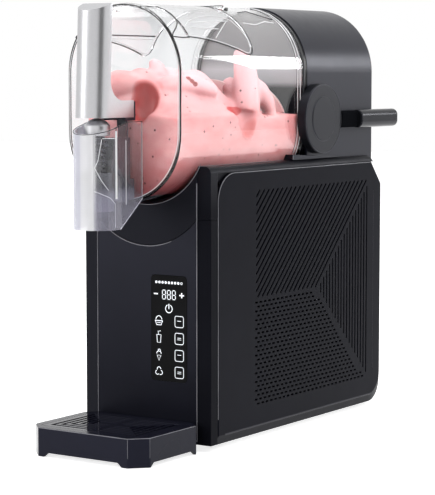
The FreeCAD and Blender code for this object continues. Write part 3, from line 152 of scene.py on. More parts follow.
def satin_plastic(name, colour, roughness, gloss=0.12, edge=0.0009):
    """Moulded plastic with faint flow marks; its edges are eased, so they catch the light."""
    material, tree, shader = finish(name, colour, roughness)
    tint(tree, shader, grain(tree, 0.05, 3.0), shade(colour, 0.9), shade(colour, 1.12))
    polish(tree, shader, grain(tree, 0.012, 3.0), roughness - 0.02, roughness + 0.02)
    shader.inputs["Specular IOR Level"].default_value = gloss
    shader.inputs["Specular Tint"].default_value = (0.78, 0.80, 1.0, 1.0)
    eased = tree.nodes.new("ShaderNodeBevel")
    eased.samples = 4
    eased.inputs["Radius"].default_value = edge
    tree.links.new(eased.outputs["Normal"], shader.inputs["Normal"])
    return material


def along_axis(tree, axis, low, high):
    """Goes from 0 to 1 between two stations on an axis of the piece, in metres."""
    where = tree.nodes.new("ShaderNodeTexCoord")
    parts = tree.nodes.new("ShaderNodeSeparateXYZ")
    tree.links.new(where.outputs["Object"], parts.inputs["Vector"])
    span = tree.nodes.new("ShaderNodeMapRange")
    span.inputs["From Min"].default_value = low
    span.inputs["From Max"].default_value = high
    tree.links.new(parts.outputs[axis], span.inputs["Value"])
    return span.outputs["Result"]


panel_plastic = satin_plastic("panel_satin", (0.0056, 0.0058, 0.0100), 0.36)
tree = panel_plastic.node_tree
sheen = tree.nodes.new("ShaderNodeMapRange")
sheen.inputs["To Min"].default_value = 0.08
sheen.inputs["To Max"].default_value = 0.22
tree.links.new(along_axis(tree, "Z", 0.060, 0.225), sheen.inputs["Value"])
tree.links.new(sheen.outputs["Result"], tree.nodes["Principled BSDF"].inputs["Specular IOR Level"])
dress(panel_plastic, "front_panel")
for name, matt, glossy in (("column_frame", 0.300, 0.310), ("cradle", 0.232, 0.266)):
    flank = satin_plastic(name + "_satin", CHARCOAL, 0.40)
    tree = flank.node_tree
    turned_away = tree.nodes.new("ShaderNodeMath")
    turned_away.operation = "MULTIPLY"
    tree.links.new(along_axis(tree, "X", 0.0590, 0.0600), turned_away.inputs[0])
    tree.links.new(along_axis(tree, "Z", glossy, matt), turned_away.inputs[1])
    sheen = tree.nodes.new("ShaderNodeMapRange")
    sheen.inputs["To Min"].default_value = 0.11
    sheen.inputs["To Max"].default_value = 0.03
    tree.links.new(turned_away.outputs["Value"], sheen.inputs["Value"])
    tree.links.new(sheen.outputs["Result"], tree.nodes["Principled BSDF"].inputs["Specular IOR Level"])
    dress(flank, name)


def bead(name, points, thick, material, body, closed=True):
    """A thin round bead along points in millimetres."""
    curve = bpy.data.curves.new(name, "CURVE")
    curve.dimensions = "3D"
    curve.bevel_depth = thick / 2 * MM
    curve.bevel_resolution = 3
    curve.use_fill_caps = not closed
    line = curve.splines.new("POLY")
    line.points.add(len(points) - 1)
    for spot, (x, y, z) in zip(line.points, points):
        spot.co = (x * MM, y * MM, z * MM, 1.0)
    line.use_cyclic_u = closed
    piece = bpy.data.objects.new(name, curve)
    bpy.context.scene.collection.objects.link(piece)
    curve.materials.append(material)
    piece.visible_shadow = False
    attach(piece, body)


# The grey beads along the panel's seams, the collar's mouth and the cradle's rim are painted highlights:
# they stand in for the light that these edges catch.
GLINT = (0.26, 0.26, 0.29)
glint, tree, shader = finish("edge_glint", GLINT, 0.3)
tint(tree, shader, grain(tree, 0.03, 2.0), shade(GLINT, 0.7), shade(GLINT, 1.2))
COLUMN_FRONT, PANEL_X = -125.0, 59.5
SEAM_R, SEAM_Z = 79.5, 275.0
MOUTH_R, MOUTH_Z = 70.8, 306.5
bead("seam_left_highlight", [(-PANEL_X + 0.2, COLUMN_FRONT, z) for z in (9.0, 110.0, 223.0)], 0.7,
     glint, "machine", False)
bead("seam_right_highlight", [(PANEL_X + 0.1, COLUMN_FRONT, z) for z in (9.0, 130.0, 258.0)], 0.8,
     glint, "machine", False)
arch = [math.radians(222.0 + 2.0 * i) for i in range(36)]
bead("seam_arch_highlight", [(SEAM_R * math.cos(a), COLUMN_FRONT, SEAM_Z + SEAM_R * math.sin(a)) for a in arch], 0.7,
     glint, "machine", False)
mouth = [math.radians(205.0 + 5.0 * i) for i in range(27)]
bead("mouth_edge_highlight", [(MOUTH_R * math.cos(a), COLUMN_FRONT, MOUTH_Z + MOUTH_R * math.sin(a)) for a in mouth],
     0.6, glint, "machine", False)
for side in (-1, 1):
    bead("rim_edge_highlight", [(59.4 * side, y, 274.0) for y in (-118.0, -40.0, 28.0)], 0.6,
         glint, "machine", False)


# Side and rear covers
# Each side cover is one moulding whose grille changes from slanted slots to upright slots and short
# dashes; a black felt filter is stuck behind it. The rear cover is screwed on with black screws.

COVER = (0.0058, 0.0061, 0.0096)
cover_plastic = satin_plastic("cover_satin", COVER, 0.40, 0.045)
dress(cover_plastic, "side_cover_right", "side_cover_left", "rear_cover")
# The grey beads on each cover are painted highlights: along its front and top edge, along its lower bevel
# and up near its rear edge.
soft_glint = satin_plastic("cover_bend_highlight", (0.045, 0.044, 0.052), 0.40)
COVER_X, CORNER_R, CORNER_Y, CORNER_Z = 74.9, 27.6, -83.5, 239.0
for side in (-1, 1):
    edge = [(COVER_X * side, CORNER_Y - CORNER_R, z) for z in (30.0, CORNER_Z)]
    for i in range(1, 13):
        a = math.radians(180.0 - 7.5 * i)
        edge.append((COVER_X * side, CORNER_Y + CORNER_R * math.cos(a), CORNER_Z + CORNER_R * math.sin(a)))
    edge.append((COVER_X * side, 190.0, CORNER_Z + CORNER_R))
    bead("cover_edge_highlight", edge, 0.7, glint, "machine", False)
    bead("cover_bend_highlight", [(74.5 * side, y, 14.0) for y in (-100.0, 40.0, 188.0)], 2.2, soft_glint,
         "machine", False)
    bead("cover_fold_highlight", [(75.0 * side, 190.0, z) for z in (42.0, 140.0, 236.0)], 0.9, soft_glint,
         "machine", False)

FELT = (0.006, 0.006, 0.007)
felt, tree, shader = finish("filter_felt", FELT, 0.95)
tint(tree, shader, grain(tree, 0.0008, 4.0), shade(FELT, 0.5), shade(FELT, 1.8))
relief(tree, shader, grain(tree, 0.0006, 3.0), 0.0002)
dress(felt, "dust_filter_right", "dust_filter_left")

SCREW = (0.05, 0.05, 0.055)
screw_black, tree, shader = finish("blackened_screw", SCREW, 0.42, 0.9)
polish(tree, shader, grain(tree, 0.001), 0.32, 0.5)
tint(tree, shader, grain(tree, 0.0015), shade(SCREW, 0.7), shade(SCREW, 1.3))
dress(screw_black, "cover_screws")


# Mains inlet
# A three-pin socket with a flange, moulded in gloss black plastic and clipped through the rear
# cover. The fan's frame and rotor are the same plastic.

INLET = (0.008, 0.008, 0.009)
inlet_plastic = satin_plastic("inlet_plastic", INLET, 0.28)
dress(inlet_plastic, "mains_inlet", "fan_frame", "fan_rotor")


# Display
# Black glass lies flush in the front panel. Lit symbols show through it: a row of level dots, three
# digits between a minus and a plus, the power sign, four drink pictures and four plain keys.

GLASS_BLACK = (0.0035, 0.0035, 0.0042)
display_black, tree, shader = finish("display_glass", GLASS_BLACK, 0.12)
tint(tree, shader, grain(tree, 0.03), shade(GLASS_BLACK, 0.8), shade(GLASS_BLACK, 1.3))
polish(tree, shader, grain(tree, 0.02, 4.0), 0.09, 0.16)
shader.inputs["Specular IOR Level"].default_value = 0.05
dress(display_black, "display_glass")

LIT = (0.92, 0.95, 1.0)
lit, tree, shader = finish("display_light", LIT, 0.5)
shader.inputs["Emission Color"].default_value = (*LIT, 1.0)
shader.inputs["Emission Strength"].default_value = 0.55
tint(tree, shader, grain(tree, 0.002), shade(LIT, 0.85), LIT)

GLASS_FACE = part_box("display_glass")[0].y / MM
MARK_THICK = 0.06


def ribbon_faces(mesh, points, width, closed=False):
    """Adds a flat stroke along points (x, z), in millimetres, on the face of the glass."""
    count = len(points)
    left, right = [], []
    for i, (x, z) in enumerate(points):
        before = points[i - 1] if closed or i else points[i]
        after = points[(i + 1) % count] if closed or i < count - 1 else points[i]
        along = Vector((after[0] - before[0], after[1] - before[1]))
        along.normalize()
        side = Vector((-along.y, along.x)) * width / 2
        for row, sign in ((left, 1), (right, -1)):
            row.append((x + sign * side.x, z + sign * side.y))
    spans = count if closed else count - 1
    for i in range(spans):
        j = (i + 1) % count
        corners = (left[i], left[j], right[j], right[i])
        plate(mesh, corners)


def plate(mesh, corners):
    """Adds a thin plate with these corners (x, z) on the face of the glass."""
    rows = []
    for depth in (GLASS_FACE - MARK_THICK, GLASS_FACE):
        rows.append([mesh.verts.new((x * MM, depth * MM, z * MM)) for x, z in corners])
    mesh.faces.new(rows[0])
    mesh.faces.new(reversed(rows[1]))
    for i in range(len(corners)):
        j = (i + 1) % len(corners)
        mesh.faces.new((rows[0][j], rows[0][i], rows[1][i], rows[1][j]))


def ring_points(x, z, radius_x, radius_z=None, start=0.0, end=360.0, steps=20):
    """Points on an ellipse, angles in degrees anticlockwise from the right."""
    tall = radius_x if radius_z is None else radius_z
    turns = [math.radians(start + (end - start) * i / steps) for i in range(steps + 1)]
    points = [(x + radius_x * math.cos(a), z + tall * math.sin(a)) for a in turns]
    return points[:-1] if abs(end - start) >= 360 else points


def lit_piece(name, mesh):
    """Closes a set of symbols into one lit piece that rides on the machine."""
    bmesh.ops.recalc_face_normals(mesh, faces=mesh.faces)
    data = bpy.data.meshes.new(name)
    mesh.to_mesh(data)
    mesh.free()
    piece = bpy.data.objects.new(name, data)
    bpy.context.scene.collection.objects.link(piece)
    data.materials.append(lit)
    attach(piece, "machine")


DISPLAY_X = 27.0
DOTS = 9
dots = bmesh.new()
for i in range(DOTS):
    x = 12.2 + 3.7 * i
    if i < DOTS - 1:
        plate(dots, ring_points(x, 161.1, 1.35, steps=14))
    else:
        ribbon_faces(dots, ring_points(x, 161.1, 1.05, steps=14), 0.5, True)
lit_piece("display_dots", dots)

digits = bmesh.new()
for middle in (21.2, 27.0, 32.8):
    wide, tall, level = 1.85, 4.3, 149.3
    for z in (-tall, 0.0, tall):
        ribbon_faces(digits, [(middle - wide + 0.45, level + z), (middle + wide - 0.45, level + z)], 0.8)
    for x in (-wide, wide):
        for low, high in ((-tall + 0.45, -0.45), (0.45, tall - 0.45)):
            ribbon_faces(digits, [(middle + x, level + low), (middle + x, level + high)], 0.8)
ribbon_faces(digits, [(9.2, 149.6), (14.0, 149.6)], 1.3)
ribbon_faces(digits, [(39.4, 149.5), (44.8, 149.5)], 1.3)
ribbon_faces(digits, [(42.1, 147.0), (42.1, 148.8)], 1.3)
ribbon_faces(digits, [(42.1, 150.2), (42.1, 152.0)], 1.3)
lit_piece("display_digits", digits)

power = bmesh.new()
ribbon_faces(power, ring_points(DISPLAY_X, 135.8, 3.9, None, 115.0, 425.0, 26), 0.85)
ribbon_faces(power, [(DISPLAY_X, 135.6), (DISPLAY_X, 140.6)], 1.0)
lit_piece("display_power", power)

keys = bmesh.new()
for row, z in enumerate((123.8, 107.3, 90.8, 74.3)):
    half_x, half_z, bend = 5.0, 5.4, 1.9
    outline = []
    for sx, sz, first in ((1, 1, 0), (-1, 1, 90), (-1, -1, 180), (1, -1, 270)):
        outline += ring_points(
            39.1 + sx * (half_x - bend), z + sz * (half_z - bend), bend, None, first, first + 90, 5)
    ribbon_faces(keys, outline, 0.65, True)
    for line in range(1 + row % 2):
        ribbon_faces(keys, [(36.9, z + 0.7 - 1.6 * line), (41.3, z + 0.7 - 1.6 * line)], 0.55)
lit_piece("display_keys", keys)

pictures = bmesh.new()
left = 15.1
cup = [(left - 4.2, 123.4), (left - 2.6, 119.4), (left + 2.6, 119.4), (left + 4.2, 123.4)]
ribbon_faces(pictures, cup, 0.8)
ribbon_faces(pictures, [(left - 4.6, 123.5), (left + 4.6, 123.5)], 0.8)
ribbon_faces(pictures, ring_points(left, 123.6, 3.7, 4.6, 12.0, 168.0, 14), 0.8)
ribbon_faces(pictures, [(left - 2.2, 121.6), (left + 2.2, 121.6)], 0.6)
glass = [(left - 2.5, 109.8), (left - 1.9, 102.2), (left + 1.9, 102.2), (left + 2.5, 109.8)]
ribbon_faces(pictures, glass, 0.8, True)
ribbon_faces(pictures, [(left - 0.4, 109.8), (left - 1.0, 113.0), (left + 2.2, 113.6)], 0.7)
ribbon_faces(pictures, [(left - 2.2, 89.6), (left, 84.6), (left + 2.2, 89.6)], 0.8, True)
ribbon_faces(pictures, ring_points(left, 91.6, 2.6, 2.1, -10.0, 190.0, 12), 0.8)
ribbon_faces(pictures, ring_points(left + 0.4, 94.2, 1.5, 1.4, -20.0, 200.0, 10), 0.7)
for first in (90.0, 210.0, 330.0):
    a = math.radians(first)
    centre = (left + 2.2 * math.cos(a), 73.9 + 2.2 * math.sin(a))
    ribbon_faces(pictures, ring_points(*centre, 2.1, None, first - 90, first + 110, 12), 0.8)
lit_piece("display_pictures", pictures)


# Circuit boards
# The display board sits right behind the glass; the main board stands on pillars behind the column.
# Both are glass-fibre board with a green coat.

BOARD = (0.012, 0.075, 0.035)
board, tree, shader = finish("board_coat", BOARD, 0.35)
tint(tree, shader, grain(tree, 0.004, 5.0), shade(BOARD, 0.6), shade(BOARD, 1.5))
relief(tree, shader, grain(tree, 0.0015, 3.0), 0.00005)
dress(board, "display_board", "control_board")


# Refrigeration
# A black-painted compressor on rubber grommets, an aluminium fin condenser with its fan, and copper
# lines brazed between them and the drum.

PAINT = (0.010, 0.010, 0.011)
paint, tree, shader = finish("compressor_paint", PAINT, 0.33)
tint(tree, shader, grain(tree, 0.02), shade(PAINT, 0.8), shade(PAINT, 1.3))
relief(tree, shader, grain(tree, 0.0012, 3.0), 0.00006)
dress(paint, "compressor")

FIN = (0.66, 0.67, 0.68)
fin, tree, shader = finish("condenser_fin", FIN, 0.38, 1.0)
tint(tree, shader, grain(tree, 0.006, 3.0), shade(FIN, 0.8), shade(FIN, 1.1))
polish(tree, shader, grain(tree, 0.004), 0.3, 0.48)
dress(fin, "condenser")

COPPER = (0.74, 0.34, 0.19)
copper, tree, shader = finish("copper_tube", COPPER, 0.30, 1.0)
tint(tree, shader, grain(tree, 0.012, 4.0), shade(COPPER, 0.62), COPPER)
polish(tree, shader, grain(tree, 0.008), 0.22, 0.45)
dress(copper, "suction_line", "liquid_line", "discharge_line", "shaft_bush")


# Motor housing
# One arched moulding with a sloping foot that reaches forward along the vessel, in the same plastic
# as the cabinet but a little glossier; the bulkhead closes its front.

HOUSING = (0.0068, 0.0072, 0.0125)
housing_plastic = satin_plastic("housing_satin", HOUSING, 0.30, 0.28)
dress(housing_plastic, "motor_housing")
# A short grey bead at the front end of each foot is a painted highlight.
for side in (-1, 1):
    bead("foot_edge_highlight", [(70.8 * side, 31.2, z) for z in (275.0, 277.0, 279.4)], 0.8, glint, "machine",
         False)


def blend(tree, amount, first, second):
    """Colour that goes from first to second with the amount."""
    mixed = tree.nodes.new("ShaderNodeMix")
    mixed.data_type = "RGBA"
    tree.links.new(amount, mixed.inputs["Factor"])
    for value, socket in ((first, mixed.inputs["A"]), (second, mixed.inputs["B"])):
        if isinstance(value, tuple):
            socket.default_value = (*value, 1.0)
        else:
            tree.links.new(value, socket)
    return mixed.outputs["Result"]


# The bulkhead's colour is a painted reflection of the light seen on it through the vessel: grey above, a
# brighter painted band about 353 to 366 mm up, dark below; behind its front face it keeps its own
# near-black.
GLARE_GREY = (0.26, 0.265, 0.27)
painted_glare, tree, shader = finish("bulkhead_painted_glare", GLARE_GREY, 0.22)
painted_glare_band = tint(tree, shader, along_axis(tree, "Z", 0.330, 0.380), (0.006, 0.006, 0.010), GLARE_GREY, 0.0, 1.0)
glare_stops = tree.nodes["Color Ramp"].color_ramp.elements
for place, light in ((0.34, 0.008), (0.46, 0.36), (0.72, 0.48), (0.90, 0.28)):
    stop = glare_stops.new(place)
    stop.color = (light, light, 1.04 * light, 1.0)
edged = blend(tree, along_axis(tree, "Y", 0.0604, 0.0607), painted_glare_band, (0.006, 0.006, 0.008))
tree.links.new(edged, shader.inputs["Base Color"])
polish(tree, shader, grain(tree, 0.02, 3.0), 0.18, 0.30)
shader.inputs["Specular IOR Level"].default_value = 0.08
dress(painted_glare, "housing_bulkhead")


# Drive
# A gear motor drives the auger's shaft through a steel pinion and a large nylon gear. The shafts,
# pins and clips are turned from steel.

NYLON = (0.72, 0.70, 0.62)
nylon, tree, shader = finish("gear_nylon", NYLON, 0.5)
tint(tree, shader, grain(tree, 0.01), shade(NYLON, 0.9), shade(NYLON, 1.05))
relief(tree, shader, grain(tree, 0.0008), 0.00003)
dress(nylon, "drive_gear")

STEEL = (0.60, 0.60, 0.60)


def brushed_steel(name, colour, roughness, stretch):
    """Steel with fine lines along one direction."""
    material, tree, shader = finish(name, colour, roughness, 1.0)
    lines = grain(tree, 0.001, 3.0, stretch)
    tint(tree, shader, lines, shade(colour, 0.82), shade(colour, 1.1))
    polish(tree, shader, lines, roughness - 0.08, roughness + 0.08)
    relief(tree, shader, lines, 0.00001)
    return material


turned = brushed_steel("turned_steel", STEEL, 0.3, (1.0, 0.03, 1.0))
dress(turned, "drive_shaft", "motor_shaft", "motor_pinion", "hinge_pin", "handle_pin", "lock_clip_right",
      "lock_clip_left")


# Evaporator drum
# A drawn stainless drum, cold on its outside, with the refrigerant jacket in its double wall. It
# stands out from the bulkhead, inside the auger.

drum_steel = brushed_steel("drum_steel", (0.62, 0.63, 0.64), 0.34, (1.0, 14.0, 1.0))
dress(drum_steel, "evaporator_drum")


# Auger
# A white food-grade moulding: a ribbon wound round the drum, tied by three bars to its front spider,
# and smeared with the mix that it folds.

AUGER_WHITE = (0.78, 0.62, 0.60)
auger_white, tree, shader = finish("auger_plastic", AUGER_WHITE, 0.38)
tint(tree, shader, grain(tree, 0.03, 4.0), (0.74, 0.36, 0.37), AUGER_WHITE, 0.42, 0.62)
relief(tree, shader, grain(tree, 0.006, 3.0), 0.0003)
dress(auger_white, "auger")


# Lock levers
# On each side a black disc with a round cap turns on a pin through the housing, and a lever with a
# thicker grip leaves its rim towards the rear. Semi-gloss moulded plastic.

LOCK = (0.0062, 0.0066, 0.0082)
lock_plastic = satin_plastic("lock_plastic", LOCK, 0.33, 0.24)
grip_plastic = satin_plastic("grip_plastic", LOCK, 0.22, 0.5)
for side in ("right", "left"):
    dress(lock_plastic, "lock_hub_" + side, "lock_cap_" + side)
    dress(grip_plastic, "lock_lever_" + side)
tree = grip_plastic.node_tree
shader = tree.nodes["Principled BSDF"]
reach = tree.nodes.new("ShaderNodeMapRange")
reach.inputs["To Min"].default_value = 0.0
reach.inputs["To Max"].default_value = 0.20
tree.links.new(along_axis(tree, "Y", 0.1465, 0.1485), reach.inputs["Value"])
tree.links.new(reach.outputs["Result"], shader.inputs["Specular IOR Level"])
# The light rings on each hub's face and round its cap, and the pale spot on the front end of each grip,
# are painted highlights.
RIM_HIGHLIGHT = (0.095, 0.097, 0.110)
rim_highlight_plastic = satin_plastic("hub_rim", RIM_HIGHLIGHT, 0.35)
gleam, tree, shader = finish("lever_gleam", (0.55, 0.55, 0.58), 0.25)
tint(tree, shader, grain(tree, 0.004), (0.45, 0.45, 0.48), (0.60, 0.60, 0.63))
HUB_Y, HUB_Z, HUB_R, CAP_R = 80.5, 315.5, 36.0, 23.0
for side, sign in (("right", 1), ("left", -1)):
    face = sign * max(abs(corner.x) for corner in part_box("lock_hub_" + side)) / MM
    turns = [math.radians(5.0 * i) for i in range(72)]
    for name, radius in (("hub_rim_", HUB_R - 0.7), ("cap_rim_highlight_", CAP_R + 0.2)):
        x = face - 0.1 * sign
        ring = [(x, HUB_Y + radius * math.cos(a), HUB_Z + radius * math.sin(a)) for a in turns]
        bead(name + side, ring, 0.6, rim_highlight_plastic, "lever_" + side)
    outer = sign * max(abs(corner.x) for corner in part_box("lock_lever_" + side)) / MM
    bead("lever_gleam_" + side, [(outer - 1.2 * sign, 148.6, z) for z in (310.5, 314.2, 318.0)], 2.2,
         gleam, "lever_" + side, False)


# Vessel
# A clear injection moulding, round below and above, with a flat front and ribs at its rear edge.
# The thick front corner gathers the light into a dark line with a bright one beside it.

CLEAR = (0.975, 0.982, 0.988)


def clear_plastic(name, colour, roughness):
    """Clear plastic with a faint swirl of moulding marks."""
    material, tree, shader = finish(name, colour, roughness)
    shader.inputs["Transmission Weight"].default_value = 1.0
    shader.inputs["IOR"].default_value = 1.38
    relief(tree, shader, grain(tree, 0.03, 1.0), 0.00003, 0.4)
    return material


vessel_clear = clear_plastic("vessel_clear", CLEAR, 0.01)
dress(vessel_clear, "vessel")
nodes["vessel"].visible_shadow = False

AXIS_Z = 306.5
ARCH_Z = 362.0
VESSEL_R = 66.6
VESSEL_FRONT = -161.5


def stadium_points(radius, y, steps=40):
    """Points round the vessel's upright outline at a station y, in millimetres."""
    points = []
    for i in range(steps + 1):
        a = math.pi * i / steps
        points.append((radius * math.cos(a), y, ARCH_Z + radius * math.sin(a)))
    for i in range(steps + 1):
        a = math.pi + math.pi * i / steps
        points.append((radius * math.cos(a), y, AXIS_Z + radius * math.sin(a)))
    return points


# The dark and bright beads on the vessel are painted reflections and painted highlights: round the front
# corner, at the rear ribs, round the fill opening and across the crown; the dark rear rib line is painted
# shade in the gap to the housing. The front corner's dark bead is painted pale along the straight sides
# and dark round the arches.
EDGE_DARK = (0.012, 0.012, 0.016)
edge_dark, tree, shader = finish("edge_dark", EDGE_DARK, 0.15)
tint(tree, shader, grain(tree, 0.01), shade(EDGE_DARK, 0.6), shade(EDGE_DARK, 1.6))
edge_reflection, tree, shader = finish("edge_reflection", EDGE_DARK, 0.15)
tint(tree, shader, along_axis(tree, "Z", 0.230, 0.430), EDGE_DARK, EDGE_DARK, 0.0, 1.0)
reflection_stops = tree.nodes["Color Ramp"].color_ramp.elements
for place, light in ((0.27, 0.02), (0.37, 0.5), (0.66, 0.6), (0.78, 0.02)):
    stop = reflection_stops.new(place)
    stop.color = (light, light, light, 1.0)
EDGE_BRIGHT = (0.9, 0.91, 0.93)
edge_bright, tree, shader = finish("edge_bright", EDGE_BRIGHT, 0.12)
tint(tree, shader, grain(tree, 0.02), shade(EDGE_BRIGHT, 0.92), EDGE_BRIGHT)
bead("vessel_edge_dark", stadium_points(VESSEL_R - 1.6, VESSEL_FRONT + 0.3), 1.1,
     edge_reflection, "vessel")
bead("vessel_edge_bright", stadium_points(VESSEL_R - 3.0, VESSEL_FRONT + 0.1), 0.8,
     edge_bright, "vessel")
RIB_R = 67.0
VESSEL_REAR = 57.0
for name, radius, y, thick, material in (
    ("rib_shade_rear", RIB_R, VESSEL_REAR - 0.5, 1.2, edge_dark),
    ("rib_highlight_middle", RIB_R, VESSEL_REAR - 6.2, 0.8, edge_bright),
    ("rib_highlight_front", RIB_R, VESSEL_REAR - 11.2, 0.7, edge_bright),
):
    bead(name, stadium_points(radius, y), thick, material, "vessel")
NOSE = (
    (20.0, -160.6, 424.5), (21.8, -150.2, 425.0), (23.1, -138.0, 424.5), (29.5, -134.2, 421.8),
    (36.1, -133.6, 418.1), (42.8, -135.0, 413.1), (46.9, -138.7, 409.4), (51.4, -147.4, 404.4),
    (54.7, -156.3, 400.1), (56.6, -160.4, 397.2),
)
LEDGE = ((57.0, -160.6, 396.4), (57.6, -146.0, 395.6), (57.4, -134.0, 396.0))
for side in (-1, 1):
    bead("mouth_nose_dark_reflection", [(side * x, y, z) for x, y, z in NOSE], 1.4, edge_dark, "vessel",
         False)
    bead("mouth_ledge_dark_reflection", [(side * x, y, z) for x, y, z in LEDGE], 1.3, edge_dark, "vessel",
         False)
for name, material, route in (
    ("crown_reflection_front", edge_dark, ((27.8, -5.9, 422.6), (24.1, 13.9, 424.2), (30.4, 23.2, 421.3),
                                     (35.6, 34.3, 418.3), (38.4, 42.0, 416.5))),
    ("crown_reflection_rear", edge_dark, ((10.5, 44.0, 427.9), (23.0, 44.4, 424.6), (33.0, 45.2, 419.9))),
    ("crown_highlight", edge_bright, ((44.5, -21.0, 411.6), (45.9, -0.8, 410.4), (41.6, 22.4, 414.1),
                                       (43.1, 37.1, 412.8))),
):
    bead(name, route, 1.3, material, "vessel", False)


# Fill lid
# A saddle of the same clear plastic over the fill opening, moulded with a recessed panel. It is
# hinged on a steel pin at its rear edge.

lid_clear = clear_plastic("lid_clear", (0.90, 0.905, 0.915), 0.03)
dress(lid_clear, "fill_lid")
nodes["fill_lid"].visible_shadow = False

LID_EDGE = (
    (-133.0, 396.5), (-118.0, 395.5), (-103.0, 393.8), (-88.5, 391.5), (-73.0, 388.5), (-58.0, 385.0),
    (-43.0, 380.7), (-38.0, 380.4), (-34.5, 382.0), (-32.0, 386.0), (-31.0, 390.0),
)


def lid_outline(radius, drop, side):
    """One half of the lid's edge, from the middle of its front along a side to the middle of its rear."""
    edge = []
    for y, z in LID_EDGE:
        rise = z - drop - ARCH_Z
        edge.append((math.sqrt(radius ** 2 - rise ** 2), y + (drop if y > -36 else 0.0), ARCH_Z + rise))

    def crown(start):
        first = math.atan2(start[2] - ARCH_Z, start[0])
        turns = [first + (math.pi / 2 - first) * i / 13 for i in range(1, 14)]
        return [(radius * math.cos(a), start[1], ARCH_Z + radius * math.sin(a)) for a in turns]

    return [(side * x, y, z) for x, y, z in crown(edge[0])[::-1] + edge + crown(edge[-1])]


# The dark and bright beads on the lid are painted reflections and painted highlights: along its edge,
# round its recessed panel and along its side.
bead("lid_edge_dark", lid_outline(VESSEL_R, 0.0, 1)[13:], 1.2, edge_dark, "lid", False)
for side in (-1, 1):
    bead("lid_edge_bright", lid_outline(VESSEL_R - 1.2, -1.5, side)[13:], 0.8, edge_bright, "lid",
         False)
PANEL = (
    (50.5, -132.0, 405.6), (44.4, -117.5, 411.7), (39.2, -94.8, 415.9), (36.7, -73.6, 417.7),
    (36.9, -51.7, 417.6), (41.7, -40.8, 414.0), (50.7, -36.2, 405.2), (57.8, -33.8, 395.2),
    (61.2, -35.0, 388.2),
)
for name, route in (
    ("lid_panel_highlight", PANEL),
    ("lid_recess_top_highlight", ((45.6, -112.8, 410.5), (44.3, -84.9, 411.8), (42.7, -46.8, 413.2))),
    ("lid_recess_low_highlight", ((50.5, -119.8, 405.5), (50.6, -98.6, 405.3), (51.1, -75.1, 404.8))),
    ("lid_recess_end_highlight", ((43.8, -51.9, 412.2), (51.3, -71.0, 404.6), (57.3, -88.8, 395.9))),
):
    bead(name, route, 1.0, edge_bright, "lid", False)
for name, z, thick, material in (
    ("lid_side_dark_reflection", 399.8, 1.6, edge_dark),
    ("lid_side_highlight", 396.6, 0.9, edge_bright),
):
    x = -math.sqrt((VESSEL_R - 1.2) ** 2 - (z - ARCH_Z) ** 2)
    bead(name, [(x, y, z) for y in (-126.0, -90.0, -34.0)], thick, material, "lid", False)


# Frozen mix
# Strawberry ice cream, whipped and half frozen: a level bed against the wall, a ridge folded up by
# the auger, a curl at the front and a soft peak at the rear. Dark seeds are scattered through it.

WALL_R = 62.7
BED_Z = 320.5
MIX_FRONT, MIX_REAR = -158.0, 55.5


def swell(x, y):
    """Height of the mix's top over the vessel's axis plane, in millimetres."""
    front = 1 / (1 + np.exp(-(y + 146.0) / 4.0))
    rear = 1 / (1 + np.exp((y + 24.0) / 6.0))
    ridge = 46.0 * np.exp(-0.5 * ((x + 3.0) / 29.0) ** 2) * front * rear
    bank = 16.0 * np.exp(-0.5 * ((x + 20.0) / 30.0) ** 2) * (1 - rear)
    notch = 26.0 * np.exp(-0.5 * ((y + 42.0) / 9.0) ** 2) / (1 + np.exp(-(x - 46.0) / 4.0))
    folds = 1.6 * np.sin(0.13 * y + 0.09 * x) * np.exp(-0.5 * (x / 34.0) ** 2)
    return BED_Z + ridge + bank - notch + folds


def mix_bed():
    """Closed body of the mix, lofted from slices along the vessel."""
    bed = bmesh.new()
    stations = np.linspace(MIX_FRONT, MIX_REAR, 90)
    across = np.linspace(WALL_R, -WALL_R, 48)
    rings = []
    for y in stations:
        ring = []
        for i in range(33):
            a = math.pi + math.pi * i / 32
            ring.append((WALL_R * math.cos(a), y, AXIS_Z + WALL_R * math.sin(a)))
        ring += [(x, y, float(swell(x, y))) for x in across]
        rings.append([bed.verts.new([c * MM for c in spot]) for spot in ring])
    count = len(rings[0])
    for a, b in zip(rings, rings[1:]):
        for i in range(count):
            j = (i + 1) % count
            bed.faces.new((a[i], a[j], b[j], b[i]))
    bed.faces.new(rings[0])
    bed.faces.new(reversed(rings[-1]))
    return bed


def add_rope(bed, route):
    """Adds a closed rope of mix through stations (x, y, z, radius) in millimetres."""
    rows = []
    fine = []
    for (a, b) in zip(route, route[1:]):
        fine += [[p + (q - p) * i / 4 for p, q in zip(a, b)] for i in range(4)]
    fine.append(list(route[-1]))
    for i, (x, y, z, radius) in enumerate(fine):
        before = Vector(fine[max(i - 1, 0)][:3])
        after = Vector(fine[min(i + 1, len(fine) - 1)][:3])
        along = (after - before).normalized()
        side = along.orthogonal().normalized()
        other = along.cross(side)
        row = []
        for k in range(16):
            a = 2 * math.pi * k / 16
            spot = Vector((x, y, z)) + radius * (math.cos(a) * side + math.sin(a) * other)
            row.append(bed.verts.new(spot * MM))
        rows.append(row)
    for a, b in zip(rows, rows[1:]):
        gaps = [sum((a[k].co - b[(k + s) % 16].co).length for k in range(0, 16, 4)) for s in range(16)]
        twist = gaps.index(min(gaps))
        b[:] = b[twist:] + b[:twist]
        for k in range(16):
            m = (k + 1) % 16
            bed.faces.new((a[k], a[m], b[m], b[k]))
    bed.faces.new(reversed(rows[0]))
    bed.faces.new(rows[-1])


